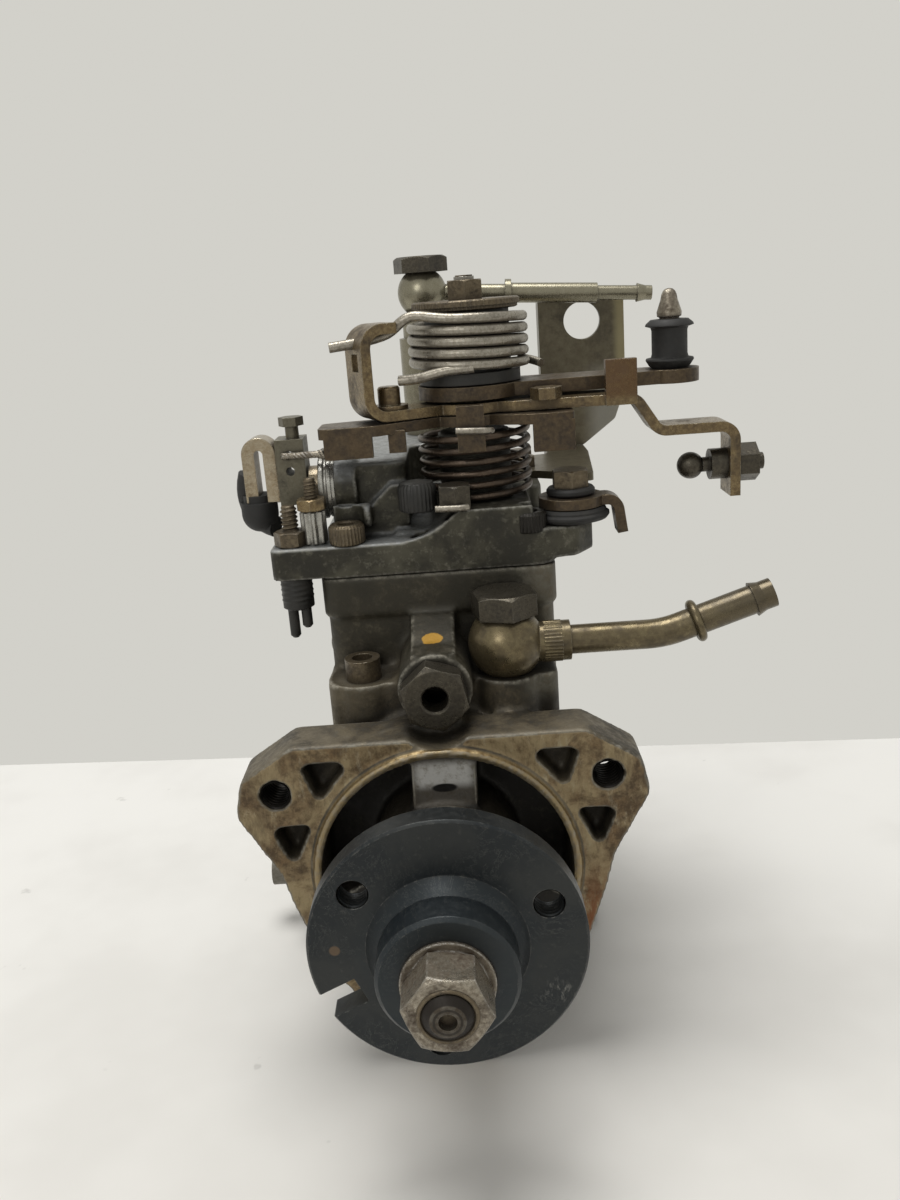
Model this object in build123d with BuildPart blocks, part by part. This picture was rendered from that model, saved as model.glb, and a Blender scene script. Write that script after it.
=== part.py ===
"""Diesel injection pump of the distributor type, seen from its drive end along +Y.

Millimetres. The origin is the centre of the pilot spigot on the mounting face, the drive shaft runs
along Y with its driven end at -Y, and +Z is up towards the governor cover and the throttle levers.
"""
import os
from math import atan2, cos, degrees, pi, radians, sin

from build123d import *

os.makedirs("parts", exist_ok=True)

# Mounting flange and housing
flange_thickness = 15.7
bolt_circle_radius = 53.1
bolt_hole_radius = 4.25
bolt_angles = (30, 150, 270)
spigot_radius = 37.7
spigot_wall = 2.2
spigot_height = 2.0
front_pocket_depth = 20.0
pocket_wall = 3.3
base_z = -65.0
chamber_radius = 35.5
barrel_radius = chamber_radius + 5.5
chamber_front_y = 30.0
housing_rear_y = 118.0
neck_front_y = 21.0
neck_top_z = 49.5
tower_left_x = -31.5
tower_right_x = 36.5
tower_front_y = 37.0
wall = 6.0
joint_z = 77.5
rim_height = 12.0
rim_step = 1.0
boss_radius = 21.0

# Drive shaft, hub and bearing
shaft_radius = 10.0
running_gap = 0.03
bush_wall = 2.0
bush_front_y = 7.0
bush_rear_y = 28.0
seal_radius = 17.0
seal_front_y = -1.0
seal_length = 6.0
hub_radius = 35.5
hub_front_y = -36.35
hub_thickness = 7.0
hub_nose_radius = 17.6
hub_nose_y = -50.0
hub_rear_y = -6.0
hub_rear_radius = 15.0
hub_taper_radius = 8.2
hub_bolt_circle = hub_radius - 7.5
hub_bolt_radius = 4.0
hub_bolt_angles = (143, 23, 263)
hub_notch_angle = 205
hub_notch_width = 7.5
hub_notch_bottom = hub_radius - 10.5
nut_flats = 19.0
nut_length = 12.0
thread_radius = 6.0
shaft_front_y = -63.9

# Vane feed pump
cam_ring_length = 14.0
cam_ring_bore = chamber_radius - 10.5
cam_ring_offset = 2.0
rotor_radius = cam_ring_bore - cam_ring_offset - 1
vane_thickness = 2.5
vane_count = 4
pump_plate_thickness = 3.0
side_gap = 0.3

# Governor
gear_module = 1.75
drive_teeth = 37
governor_teeth = 23
gear_width = 8.0
gear_y = 50.0
governor_shaft_radius = 3.0
cage_radius = 21.0
cage_wall = 3.0
flyweight_outer = 20.0
flyweight_inner = 9.0
flyweight_toe = 5.5
flyweight_width = 12.0
flyweight_front_y = 60.5
flyweight_rear_y = 74.0
flyweight_heel = 1.5
sleeve_flange_radius = 12.0
sleeve_flange_length = 2.5
sleeve_radius = 6.5
lever_pivot_z = 29.0
lever_plate_y = 102.0
lever_plate_thickness = 3.0
lever_top_z = 84.0
spill_ring_radius = 9.0
spill_ring_length = 7.0
spill_ball_z = 9.5

# Roller ring, cam plate and timing piston
roller_ring_radius = chamber_radius - 2.5
roller_ring_bore = 15.5
roller_ring_front_y = 76.0
roller_ring_length = 10.0
roller_radius = 4.0
roller_circle = roller_ring_radius - 8
cam_plate_radius = roller_ring_radius - 5
cam_lobe_height = 2.5
cam_plate_thickness = 3.5
timing_y = 82.0
timing_z = -48.5
timing_piston_radius = 12.0
timing_barrel_radius = 16.5
timing_left_x = -46.0
timing_right_x = 46.0
timing_piston_length = 44.0
timing_travel = 10.0
timing_pin_radius = 3.5

# Distributor head
head_flange = barrel_radius + 1
head_flange_thickness = 10.0
head_radius = chamber_radius + 0.5
head_rear_y = 150.0
head_screw_offset = head_radius - 3
plunger_radius = 5.0
outlet_circle = chamber_radius - 14.5
outlet_count = 4
outlet_flats = 17.0
outlet_length = 24.0
outlet_rear_y = head_rear_y + outlet_length
valve_radius = 3.2
plug_radius = 7.5
solenoid_y = 138.0
solenoid_radius = 12.0
solenoid_seat_z = head_radius + 6.2
solenoid_top_z = solenoid_seat_z + 33.8

# Governor cover
cover_low_z = 87.3
cover_top_z = 95.5
cover_tower_z = 109.0
cover_ear_x = -46.5
cover_front_y = 36.0
cover_rear_y = 119.0
stop_x = 43.5
stop_y = 47.0
stop_seat_z = 88.5

# Throttle lever stack, all about one vertical axis
lever_x = 16.0
lever_y = 61.0
lever_shaft_radius = 5.0
lever_boss_radius = 11.0
lever_boss_z = 115.5
shaft_lever_z = 118.0
plate_thickness = 3.0
plate_gap = 0.4
accelerator_z = shaft_lever_z + plate_thickness + plate_gap
cable_lever_z = accelerator_z + plate_thickness + plate_gap + 0.6
cable_plate_thickness = 4.0
collar_z = cable_lever_z + cable_plate_thickness + plate_gap
collar_thickness = 3.3
retainer_z = 150.6
retainer_thickness = 3.0
retainer_radius = 15.9
lever_nut_flats = 10.0
lever_nut_height = 7.0
upper_spring_radius = 16.8
upper_wire_radius = 1.5
upper_turns = 4.6
lower_spring_radius = 16.4
lower_wire_radius = 1.1
lower_turns = 5.5

# Hydraulic fittings
valve_flats = 17.0
valve_z = 50.5
valve_front_y = 3.0
inlet_x = 21.0
inlet_y = 26.0
inlet_ball_radius = 11.0
inlet_ball_height = 17.0
banjo_flats = 17.0
banjo_head = 7.0
inlet_pipe_radius = 4.25
return_x = 2.3
return_y = 109.0
return_post_top_z = 149.5
return_ball_radius = 8.3
return_pipe_radius = 3.3
return_tip_radius = 2.4

# Fast-idle lever on the left
idle_y = 55.0
idle_z = 102.0
idle_ring_radius = 8.5
idle_shaft_radius = 4.0
idle_strip = 3.8
idle_left_x = -54.0

# Cable bracket behind the levers
bracket_y = 126.0
bracket_hole_x = 58.0
bracket_hole_z = 142.5
bracket_hole_radius = 6.5
bracket_thickness = 2.5
bracket_left_x = 42.5
bracket_right_x = 73.0
bracket_top_z = 152.5


def at_y(y):
    """Sketch plane facing the drive end: local x is X and local y is Z."""
    return Plane.XZ.offset(-y)


def rod_x(radius, x_start, x_end, y, z, mode=Mode.ADD):
    with Locations(((x_start + x_end) / 2, y, z)):
        Cylinder(radius, abs(x_end - x_start), rotation=(0, 90, 0), mode=mode)


def rod_y(radius, y_start, y_end, x=0, z=0, mode=Mode.ADD):
    with Locations((x, (y_start + y_end) / 2, z)):
        Cylinder(radius, abs(y_end - y_start), rotation=(90, 0, 0), mode=mode)


def rod_z(radius, z_start, z_end, x, y, mode=Mode.ADD):
    with Locations((x, y, (z_start + z_end) / 2)):
        Cylinder(radius, abs(z_end - z_start), mode=mode)


def block(x_range, y_range, z_range, mode=Mode.ADD):
    middle = [(low + high) / 2 for low, high in (x_range, y_range, z_range)]
    with Locations(tuple(middle)):
        Box(*(high - low for low, high in (x_range, y_range, z_range)), mode=mode)


def hexagon_prism(plane, flats, length, mode=Mode.ADD, turn=0):
    with BuildSketch(plane) as outline:
        RegularPolygon(flats / 2, 6, major_radius=False, rotation=turn)
    extrude(outline.sketch, amount=length, mode=mode)


def rounded_block(x_range, y_range, z_range, radius, mode=Mode.ADD):
    """Box with its four upright edges rounded."""
    with BuildSketch(Plane.XY.offset(z_range[0])) as outline:
        with Locations((sum(x_range) / 2, sum(y_range) / 2)):
            RectangleRounded(x_range[1] - x_range[0], y_range[1] - y_range[0], radius)
    extrude(outline.sketch, amount=z_range[1] - z_range[0], mode=mode)


def plate(outline_points, plane, thickness, radius, mode=Mode.ADD):
    """Flat plate with every corner of its outline rounded."""
    with BuildSketch(plane) as outline:
        with BuildLine():
            Polyline(*outline_points, close=True)
        make_face()
        fillet(outline.vertices(), radius)
    extrude(outline.sketch, amount=thickness, mode=mode)


def bent_strip(path_points, plane, width, thickness, bend_radius, mode=Mode.ADD):
    """Flat strip bent along a path; its width lies across the plane of the path."""
    with BuildLine(plane, mode=Mode.PRIVATE) as path:
        FilletPolyline(*path_points, radius=bend_radius)
    start = Plane(path.line @ 0, x_dir=plane.z_dir, z_dir=path.line % 0)
    with BuildSketch(start, mode=Mode.PRIVATE) as section:
        Rectangle(width, thickness)
    sweep(section.sketch, path=path.line, mode=mode)


def spring(radius, wire, turns, bottom_z, height, x, y):
    """Wire coil about a vertical axis; the wire has eight flats."""
    rise = height - 2 * wire
    with BuildLine(mode=Mode.PRIVATE) as coil:
        Helix(rise / turns, rise, radius, center=(x, y, bottom_z + wire))
    start = coil.line @ 0
    with BuildSketch(Plane(start, x_dir=(1, 0, 0), z_dir=coil.line % 0), mode=Mode.PRIVATE) as wire_end:
        RegularPolygon(wire, 8)
    return sweep(wire_end.sketch, coil.line, is_frenet=True, mode=Mode.PRIVATE)


def finish(builder, name):
    """Label one finished piece and write it."""
    builder.part.label = name
    export_step(builder.part, f"parts/{name}.step")


# Pump housing: flange, spigot, neck, tower, barrel and timing cylinder in one casting
flange_side = [(40.5, 40.5), (55.5, 31), (57.8, 20.5), (47.6, 2.5), (44.6, -9), (38, -28), (17, -58)]
flange_foot = (11, base_z)
flange_outline = flange_side + [flange_foot, (-flange_foot[0], base_z)]
flange_outline += [(-x, z) for x, z in reversed(flange_side)]
upper_pocket = [(24.8, 34.9), (38.3, 34.9), (34.3, 23.4)]
lower_pocket = [(36.8, 17.3), (48.0, 15.9), (43.2, 4.2)]
pocket_depth = 9.0
screw_pad_x = -21.5
screw_pad_y = 29.5
screw_pad_radius = 9.3
cap_screw_radius = 3.0
cap_head_radius = 5.2
cap_head_height = 5.5
cover_screw_radius = 2.2
cover_screw_places = [(-23.5, 40.2), (30.2, 40.2), (-26.5, 115.4), (31.5, 115.4)]
pivot_radius = 1.5
side_plug_y = 36.5
side_plug_z = 27.0
with BuildPart() as pump_housing:
    plate(flange_outline, at_y(flange_thickness), flange_thickness, 5)
    rod_y(spigot_radius, -spigot_height, 0)
    rod_y(barrel_radius, flange_thickness - 1, housing_rear_y)
    rod_y(spigot_radius + pocket_wall, flange_thickness - 1, front_pocket_depth + wall)
    rounded_block((tower_left_x, tower_right_x - 1), (neck_front_y, tower_front_y + wall), (0, neck_top_z), 4)
    rounded_block((tower_left_x, tower_right_x), (tower_front_y, housing_rear_y), (0, joint_z), 5)
    rod_z(10, neck_top_z - 12, neck_top_z, inlet_x, inlet_y)
    rod_z(10.5, neck_top_z - 12, neck_top_z, screw_pad_x, screw_pad_y)
    rounded_block((tower_left_x - rim_step, tower_right_x + rim_step),
                  (tower_front_y - rim_step, cover_rear_y), (joint_z - rim_height, joint_z), 5)
    rod_x(timing_barrel_radius, timing_left_x, timing_right_x, timing_y, timing_z)
    rounded_block((-26, 26), (timing_y - 15, timing_y + 15), (base_z, timing_z + 20), 4)
    for screw_x in (-head_screw_offset, head_screw_offset):
        for screw_z in (-head_screw_offset, head_screw_offset):
            rod_y(8.5, housing_rear_y - 9.8, housing_rear_y, screw_x, screw_z)
    # Valve boss on the neck with its sloping rib
    rod_y(valve_flats * 0.62, valve_front_y + banjo_head, tower_front_y + 2, 0, valve_z)
    with BuildSketch(Plane.YZ.offset(-6.5)):
        with BuildLine():
            Polyline((12, 44), (38, 44), (38, 66), (33, 65.5), (20, 60.5), (12, 60.5), close=True)
        make_face()
    extrude(amount=13)
    # Open front pocket round the bearing boss, with three ribs across it
    rod_y(spigot_radius - spigot_wall, -spigot_height - 1, front_pocket_depth, mode=Mode.SUBTRACT)
    rod_y(boss_radius, -spigot_height, chamber_front_y)
    for angle in (88, 208, 328):
        with Locations(Location((0, 0, 0), (0, -angle, 0))):
            Box(spigot_radius - spigot_wall + 0.5, front_pocket_depth + 1, 18,
                align=(Align.MIN, Align.MIN, Align.CENTER))
    rod_y(13, -spigot_height, valve_front_y + banjo_head, 0, valve_z, mode=Mode.SUBTRACT)
    rod_y(spigot_radius + 4, -spigot_height - 5, -spigot_height, mode=Mode.SUBTRACT)
    # Bores along the drive axis
    rod_y(seal_radius, -spigot_height - 1, bush_front_y, mode=Mode.SUBTRACT)
    rod_y(shaft_radius + bush_wall, bush_front_y - 1, chamber_front_y + 1, mode=Mode.SUBTRACT)
    rod_y(chamber_radius, chamber_front_y, housing_rear_y + 1, mode=Mode.SUBTRACT)
    block((tower_left_x + wall, tower_right_x - wall), (tower_front_y + wall, housing_rear_y - wall),
          (15, joint_z + 1), mode=Mode.SUBTRACT)
    # Timing cylinder with the slot that its pin works in
    rod_x(timing_piston_radius + running_gap, timing_left_x - 1, timing_right_x + 1, timing_y, timing_z,
          mode=Mode.SUBTRACT)
    block((-timing_travel - 8, 8), (timing_y - 5, timing_y + 5), (timing_z, 4 - chamber_radius),
          mode=Mode.SUBTRACT)
    # Screw holes, ports and the blind pockets that lighten the flange
    for angle in bolt_angles:
        rod_y(bolt_hole_radius, -1, flange_thickness + 1, bolt_circle_radius * cos(radians(angle)),
              bolt_circle_radius * sin(radians(angle)), mode=Mode.SUBTRACT)
    for side in (-1, 1):
        for pocket in (upper_pocket, lower_pocket):
            mirrored = [(side * x, z) for x, z in pocket]
            plate(mirrored, at_y(pocket_depth), pocket_depth + 1, 1.5, mode=Mode.SUBTRACT)
    rod_y(7, valve_front_y, chamber_front_y - 4, 0, valve_z, mode=Mode.SUBTRACT)
    rod_z(6, neck_top_z - 10, neck_top_z + 1, inlet_x, inlet_y, mode=Mode.SUBTRACT)
    rod_z(screw_pad_radius, neck_top_z - 1, neck_top_z + 1, screw_pad_x, screw_pad_y, mode=Mode.SUBTRACT)
    rod_z(cap_screw_radius, neck_top_z - 9, neck_top_z, screw_pad_x, screw_pad_y, mode=Mode.SUBTRACT)
    rod_y(governor_shaft_radius, tower_front_y + 2, tower_front_y + wall + 1,
          0, gear_module * (drive_teeth + governor_teeth) / 2, mode=Mode.SUBTRACT)
    for screw_x in (-head_screw_offset, head_screw_offset):
        for screw_z in (-head_screw_offset, head_screw_offset):
            rod_y(cap_screw_radius, housing_rear_y - 9, housing_rear_y + 1, screw_x, screw_z, mode=Mode.SUBTRACT)
    for screw_x, screw_y in cover_screw_places:
        rod_z(cover_screw_radius, joint_z - 9, joint_z + 1, screw_x, screw_y, mode=Mode.SUBTRACT)
    rod_x(pivot_radius, tower_left_x - 1, tower_right_x + 1, lever_plate_y + lever_plate_thickness / 2,
          lever_pivot_z, mode=Mode.SUBTRACT)
    rod_x(4.3, tower_left_x - 5, tower_left_x, lever_plate_y + lever_plate_thickness / 2, lever_pivot_z,
          mode=Mode.SUBTRACT)
    rod_x(3.4, tower_right_x - wall + 1, tower_right_x + 1, side_plug_y, side_plug_z, mode=Mode.SUBTRACT)
finish(pump_housing, "pump_housing")

# Governor cover: low front-left shelf, raised right block, rear tower and two ears
low_shelf_end_x = -12.0
block_start_x = 9.0
block_end_x = 31.5
flank_middle = ((low_shelf_end_x + block_start_x) / 2 + 2.5, cover_low_z + 0.28 * (cover_top_z - cover_low_z))
tower_outline = [(-24.5, 50), (-5, 50), (-5, 82), (27, 82), (27, 118), (-24.5, 118)]
cap_x, cap_y = -2.0, 41.5
stud_x, stud_y = -40.3, 42.0
anchor_x, anchor_y = 9.0, 39.3
max_screw_x, max_screw_y, max_screw_z = -33.3, 42.5, 97.5
small_screw_radius = 2.6
cover_screw_seats = (cover_low_z, cover_top_z, cover_low_z, cover_low_z)
bracket_screw_places = [(32.0, 89.0), (32.0, 103.0)]
with BuildPart() as governor_cover:
    rounded_block((tower_left_x - rim_step, tower_right_x + rim_step),
                  (cover_front_y, cover_rear_y), (joint_z, cover_low_z), 5)
    rounded_block((cover_ear_x, tower_left_x + 12), (cover_front_y, cover_front_y + 19),
                  (joint_z + 0.5, cover_low_z), 3)
    # Right ear that carries the stop lever
    plate([(30, cover_front_y), (44, cover_front_y + 2), (stop_x + 6.5, stop_y), (stop_x + 3, stop_y + 9),
           (30, stop_y + 14)], Plane.XY.offset(joint_z + 1.5), stop_seat_z - joint_z - 1.5, 3)
    # Raised block with its concave left flank
    with BuildSketch(at_y(cover_rear_y - 1)):
        with BuildLine():
            ThreePointArc((low_shelf_end_x, cover_low_z), flank_middle, (block_start_x, cover_top_z))
            Line((block_start_x, cover_top_z), (block_end_x, cover_top_z))
            Line((block_end_x, cover_top_z), (block_end_x, cover_low_z - 4))
            Line((block_end_x, cover_low_z - 4), (low_shelf_end_x, cover_low_z - 4))
            Line((low_shelf_end_x, cover_low_z - 4), (low_shelf_end_x, cover_low_z))
        make_face()
    extrude(amount=cover_rear_y - 1 - cover_front_y)
    rounded_block((-30, tower_right_x), (66, cover_rear_y - 7), (cover_low_z - 1, cover_top_z), 5)
    plate(tower_outline, Plane.XY.offset(cover_low_z - 1), cover_tower_z - cover_low_z + 1, 4)
    rod_z(lever_boss_radius, cover_top_z - 1, lever_boss_z, lever_x, lever_y)
    # Ramp with the small knob and the cross tube of the fast-idle spring
    with BuildSketch(at_y(56)):
        with BuildLine():
            Polyline((-27, 86), (-27, 92.5), (-18, 95), (-10, 102.5), (-5, 102.5), (-5, 86), close=True)
        make_face()
    extrude(amount=8.5)
    rod_x(3.6, -27.5, -16, 44, 94.5)
    rod_x(idle_ring_radius, -31, -20, idle_y, idle_z)
    rod_z(small_screw_radius - 0.2, cover_low_z - 1, max_screw_z, max_screw_x, max_screw_y)
    # Hollow underside for the governor spring and the lever shaft
    block((tower_left_x + wall, tower_right_x - wall), (tower_front_y + wall, housing_rear_y - wall),
          (joint_z - 1, joint_z + 5), mode=Mode.SUBTRACT)
    block((-8, 27), (cover_front_y + 10, housing_rear_y - wall), (joint_z - 1, cover_top_z - 5.5),
          mode=Mode.SUBTRACT)
    rod_z(lever_shaft_radius + running_gap, joint_z, lever_boss_z + 1, lever_x, lever_y,
          mode=Mode.SUBTRACT)
    rod_z(cap_screw_radius + running_gap, joint_z, cover_top_z, stop_x, stop_y, mode=Mode.SUBTRACT)
    rod_x(idle_shaft_radius + running_gap, -32, -25, idle_y, idle_z, mode=Mode.SUBTRACT)
    # Holes for the screws that hold the cover, the studs and the bracket
    for screw_x, screw_y, seat in zip(*zip(*cover_screw_places), cover_screw_seats):
        rod_z(cover_screw_radius, joint_z - 1, cover_top_z + 20, screw_x, screw_y, mode=Mode.SUBTRACT)
        rod_z(cap_head_radius + 0.4, seat, cover_tower_z + 1, screw_x, screw_y, mode=Mode.SUBTRACT)
    for screw_x, screw_y in bracket_screw_places:
        rod_z(cover_screw_radius, cover_low_z + 1, cover_top_z + 1, screw_x, screw_y, mode=Mode.SUBTRACT)
    rod_z(small_screw_radius, joint_z - 1, cover_low_z + 1, stud_x, stud_y, mode=Mode.SUBTRACT)
    rod_z(3, cover_low_z, cover_top_z + 1, anchor_x, anchor_y, mode=Mode.SUBTRACT)
    rod_z(3, cover_low_z - 2, cover_top_z, cap_x, cap_y, mode=Mode.SUBTRACT)
finish(governor_cover, "governor_cover")

# Screws of the cover, all alike
with BuildPart() as cover_screws:
    for screw_x, screw_y, seat in zip(*zip(*cover_screw_places), cover_screw_seats):
        rod_z(cover_screw_radius, joint_z - 8, seat, screw_x, screw_y)
        rod_z(cap_head_radius, seat, seat + cap_head_height, screw_x, screw_y)
        rod_z(2.6, seat + 2, seat + cap_head_height + 1, screw_x, screw_y, mode=Mode.SUBTRACT)
    for screw_x, screw_y in bracket_screw_places:
        rod_z(cover_screw_radius, cover_low_z + 2, cover_top_z + bracket_thickness, screw_x, screw_y)
        hexagon_prism(Plane((screw_x, screw_y, cover_top_z + bracket_thickness), z_dir=(0, 0, 1)), 8, 4)
finish(cover_screws, "cover_screws")

# Adjusting screws on the cover: idle stud with its nut and damper clip, speed screw, spring anchor, cap
with BuildPart() as adjusting_screws:
    rod_z(small_screw_radius, joint_z - 9, cover_low_z + 12, stud_x, stud_y)
    hexagon_prism(Plane((stud_x, stud_y, cover_low_z), z_dir=(0, 0, 1)), 9, 4.5, turn=30)
    rod_z(4.7, joint_z - 9.5, joint_z + 0.5, stud_x, stud_y)
    block((stud_x - 3.2, stud_x - 0.8), (stud_y - 3, stud_y + 3), (joint_z - 19, joint_z - 9))
    block((stud_x + 0.8, stud_x + 3.2), (stud_y - 3, stud_y + 3), (joint_z - 16, joint_z - 9))
    rod_z(small_screw_radius - 0.5, max_screw_z, max_screw_z + 9.2, max_screw_x, max_screw_y)
    hexagon_prism(Plane((max_screw_x, max_screw_y, max_screw_z), z_dir=(0, 0, 1)), 8, 3.5)
    hexagon_prism(Plane((anchor_x, anchor_y, cover_top_z), z_dir=(0, 0, 1)), 9, 7.2)
    rod_z(3, cover_low_z, cover_top_z, anchor_x, anchor_y)
    rod_z(5.6, cover_top_z, cover_top_z + 8.5, cap_x, cap_y)
    rod_z(3, cover_low_z - 2, cover_top_z, cap_x, cap_y)
finish(adjusting_screws, "adjusting_screws")

# Bearing bush and shaft seal
with BuildPart() as shaft_bush:
    rod_y(shaft_radius + bush_wall, bush_front_y, bush_rear_y)
    rod_y(shaft_radius + running_gap, bush_front_y - 1, bush_rear_y + 1, mode=Mode.SUBTRACT)
finish(shaft_bush, "shaft_bush")

with BuildPart() as shaft_seal:
    rod_y(seal_radius, seal_front_y, seal_front_y + seal_length)
    rod_y(shaft_radius + 3, seal_front_y - 1, seal_front_y + seal_length - 2, mode=Mode.SUBTRACT)
    rod_y(shaft_radius + running_gap, seal_front_y, seal_front_y + seal_length + 1, mode=Mode.SUBTRACT)
finish(shaft_seal, "shaft_seal")

# Drive shaft: threaded nose, taper under the hub, journal, and the fork at its rear end
claw_width = 7.0
shaft_rear_y = 70.0
with BuildPart() as drive_shaft:
    with BuildSketch(Plane.XY):
        with BuildLine():
            Polyline((0, shaft_front_y), (thread_radius - 2, shaft_front_y), (thread_radius, shaft_front_y + 1.7),
                     (thread_radius, hub_nose_y), (hub_taper_radius, hub_nose_y), (shaft_radius, hub_rear_y - 4),
                     (shaft_radius, shaft_rear_y), (0, shaft_rear_y), close=True)
        make_face()
    revolve(axis=Axis.Y)
    rod_y(2.2, shaft_front_y - 1, shaft_front_y + 5, mode=Mode.SUBTRACT)
    for side in (-1, 1):
        block(sorted((side * 4.5, side * 13)), (shaft_rear_y - 6, shaft_rear_y + 12), (-claw_width / 2, claw_width / 2))
finish(drive_shaft, "drive_shaft")

# Drive hub: flanged disc with tapped holes and notch, on the shaft taper
hub_rear_face_y = hub_front_y + hub_thickness
with BuildPart() as drive_hub:
    with BuildSketch(Plane.XY):
        with BuildLine():
            Polyline((0, hub_nose_y), (hub_nose_radius - 1, hub_nose_y), (hub_nose_radius, hub_nose_y + 1),
                     (hub_nose_radius, hub_front_y - 4), (hub_nose_radius + 3, hub_front_y),
                     (hub_radius - 0.6, hub_front_y), (hub_radius, hub_front_y + 0.6),
                     (hub_radius, hub_rear_face_y), (hub_rear_radius + 4, hub_rear_face_y),
                     (hub_rear_radius, hub_rear_face_y + 4), (hub_rear_radius, hub_rear_y), (0, hub_rear_y),
                     close=True)
        make_face()
    revolve(axis=Axis.Y)
    with BuildSketch(Plane.XY):
        with BuildLine():
            Polyline((0, hub_nose_y - 1), (hub_taper_radius, hub_nose_y - 1), (hub_taper_radius, hub_nose_y),
                     (shaft_radius, hub_rear_y - 4), (shaft_radius, hub_rear_y + 1), (0, hub_rear_y + 1),
                     close=True)
        make_face()
    revolve(axis=Axis.Y, mode=Mode.SUBTRACT)
    for angle in hub_bolt_angles:
        rod_y(hub_bolt_radius, hub_front_y - 1, hub_rear_face_y + 1, hub_bolt_circle * cos(radians(angle)),
              hub_bolt_circle * sin(radians(angle)), mode=Mode.SUBTRACT)
    with Locations(Location((0, hub_front_y - 1, 0), (0, -hub_notch_angle, 0))):
        with Locations((hub_notch_bottom, 0, 0)):
            Box(hub_radius, hub_thickness + 2, hub_notch_width,
                align=(Align.MIN, Align.MIN, Align.CENTER), mode=Mode.SUBTRACT)
finish(drive_hub, "drive_hub")

with BuildPart() as hub_nut:
    hexagon_prism(at_y(hub_nose_y), nut_flats, nut_length, turn=8)
    rod_y(nut_flats / 2 + 2.2, hub_nose_y - 1.5, hub_nose_y)
    rod_y(thread_radius, hub_nose_y - nut_length - 1, hub_nose_y + 1, mode=Mode.SUBTRACT)
finish(hub_nut, "hub_nut")

# Vane feed pump: rotor with its vanes, eccentric cam ring, end plate
rotor_front_y = chamber_front_y + side_gap
rotor_rear_y = chamber_front_y + cam_ring_length - side_gap
with BuildPart() as pump_rotor:
    rod_y(rotor_radius, rotor_front_y, rotor_rear_y)
    rod_y(shaft_radius, rotor_front_y - 1, rotor_rear_y + 1, mode=Mode.SUBTRACT)
    for index in range(vane_count):
        with Locations(Location((0, 0, 0), (0, -index * 360 / vane_count - 45, 0))):
            with Locations((rotor_radius - 8, rotor_front_y - 1, 0)):
                Box(10, cam_ring_length + 2, vane_thickness,
                    align=(Align.MIN, Align.MIN, Align.CENTER), mode=Mode.SUBTRACT)
    for index in range(vane_count):
        with Locations(Location((0, 0, 0), (0, -index * 360 / vane_count - 45, 0))):
            with Locations((rotor_radius - 7.5, rotor_front_y, 0)):
                Box(8, rotor_rear_y - rotor_front_y, vane_thickness - 0.1,
                    align=(Align.MIN, Align.MIN, Align.CENTER))
finish(pump_rotor, "pump_rotor")

with BuildPart() as pump_cam_ring:
    rod_y(chamber_radius - 0.05, chamber_front_y, chamber_front_y + cam_ring_length)
    rod_y(cam_ring_bore, chamber_front_y - 1, chamber_front_y + cam_ring_length + 1, 0, cam_ring_offset,
          mode=Mode.SUBTRACT)
finish(pump_cam_ring, "pump_cam_ring")

pump_plate_y = chamber_front_y + cam_ring_length
with BuildPart() as pump_cover_plate:
    rod_y(chamber_radius - 0.05, pump_plate_y, pump_plate_y + pump_plate_thickness)
    rod_y(shaft_radius + 0.5, pump_plate_y - 1, pump_plate_y + pump_plate_thickness + 1, mode=Mode.SUBTRACT)
finish(pump_cover_plate, "pump_cover_plate")


def gear_outline(teeth, turn):
    """Closed outline of a spur gear with straight-flanked teeth; turn is in degrees."""
    pitch_radius = gear_module * teeth / 2
    tip_radius = pitch_radius + 0.8 * gear_module
    root_radius = pitch_radius - 1.1 * gear_module
    step = 2 * pi / teeth
    points = []
    for tooth in range(teeth):
        middle = radians(turn) + tooth * step
        for radius, share in ((root_radius, -0.27), (tip_radius, -0.11), (tip_radius, 0.11), (root_radius, 0.27)):
            points.append((radius * cos(middle + share * step), radius * sin(middle + share * step)))
    return points


# Governor gears; a tooth of the upper gear stands in a gap of the lower one
governor_z = gear_module * (drive_teeth + governor_teeth) / 2
drive_gear_turn = 90 + 180 / drive_teeth
governor_gear_turn = 270
with BuildPart() as governor_drive_gear:
    with BuildSketch(at_y(gear_y + gear_width)):
        with BuildLine():
            Polyline(*gear_outline(drive_teeth, drive_gear_turn), close=True)
        make_face()
        Circle(shaft_radius, mode=Mode.SUBTRACT)
    extrude(amount=gear_width)
    rod_y(24, gear_y - 1, gear_y + 2.5, mode=Mode.SUBTRACT)
    rod_y(14, gear_y - 0.5, gear_y + 3)
    rod_y(shaft_radius, gear_y - 1, gear_y + 4, mode=Mode.SUBTRACT)
finish(governor_drive_gear, "governor_drive_gear")

cage_front_y = gear_y + gear_width
cage_floor_y = flyweight_front_y - 0.5
cage_rear_y = 71.0
with BuildPart() as governor_gear:
    with BuildSketch(at_y(cage_front_y)):
        with Locations((0, governor_z)):
            with BuildLine():
                outline = gear_outline(governor_teeth, governor_gear_turn)
                Polyline(*((x, z + governor_z) for x, z in outline), close=True)
        make_face()
    extrude(amount=gear_width)
    rod_y(cage_radius, cage_front_y, cage_floor_y, 0, governor_z)
    for angle in (45, 135, 225, 315):
        with Locations(Location((0, cage_floor_y, governor_z), (0, -angle, 0))):
            with Locations((governor_shaft_radius + 1, -1, 0)):
                Box(cage_radius - governor_shaft_radius - 1.3, cage_rear_y - cage_floor_y + 1, cage_wall,
                    align=(Align.MIN, Align.MIN, Align.CENTER))
    rod_y(governor_shaft_radius + running_gap, gear_y - 1, cage_rear_y + 1, 0, governor_z, mode=Mode.SUBTRACT)
finish(governor_gear, "governor_gear")

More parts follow.
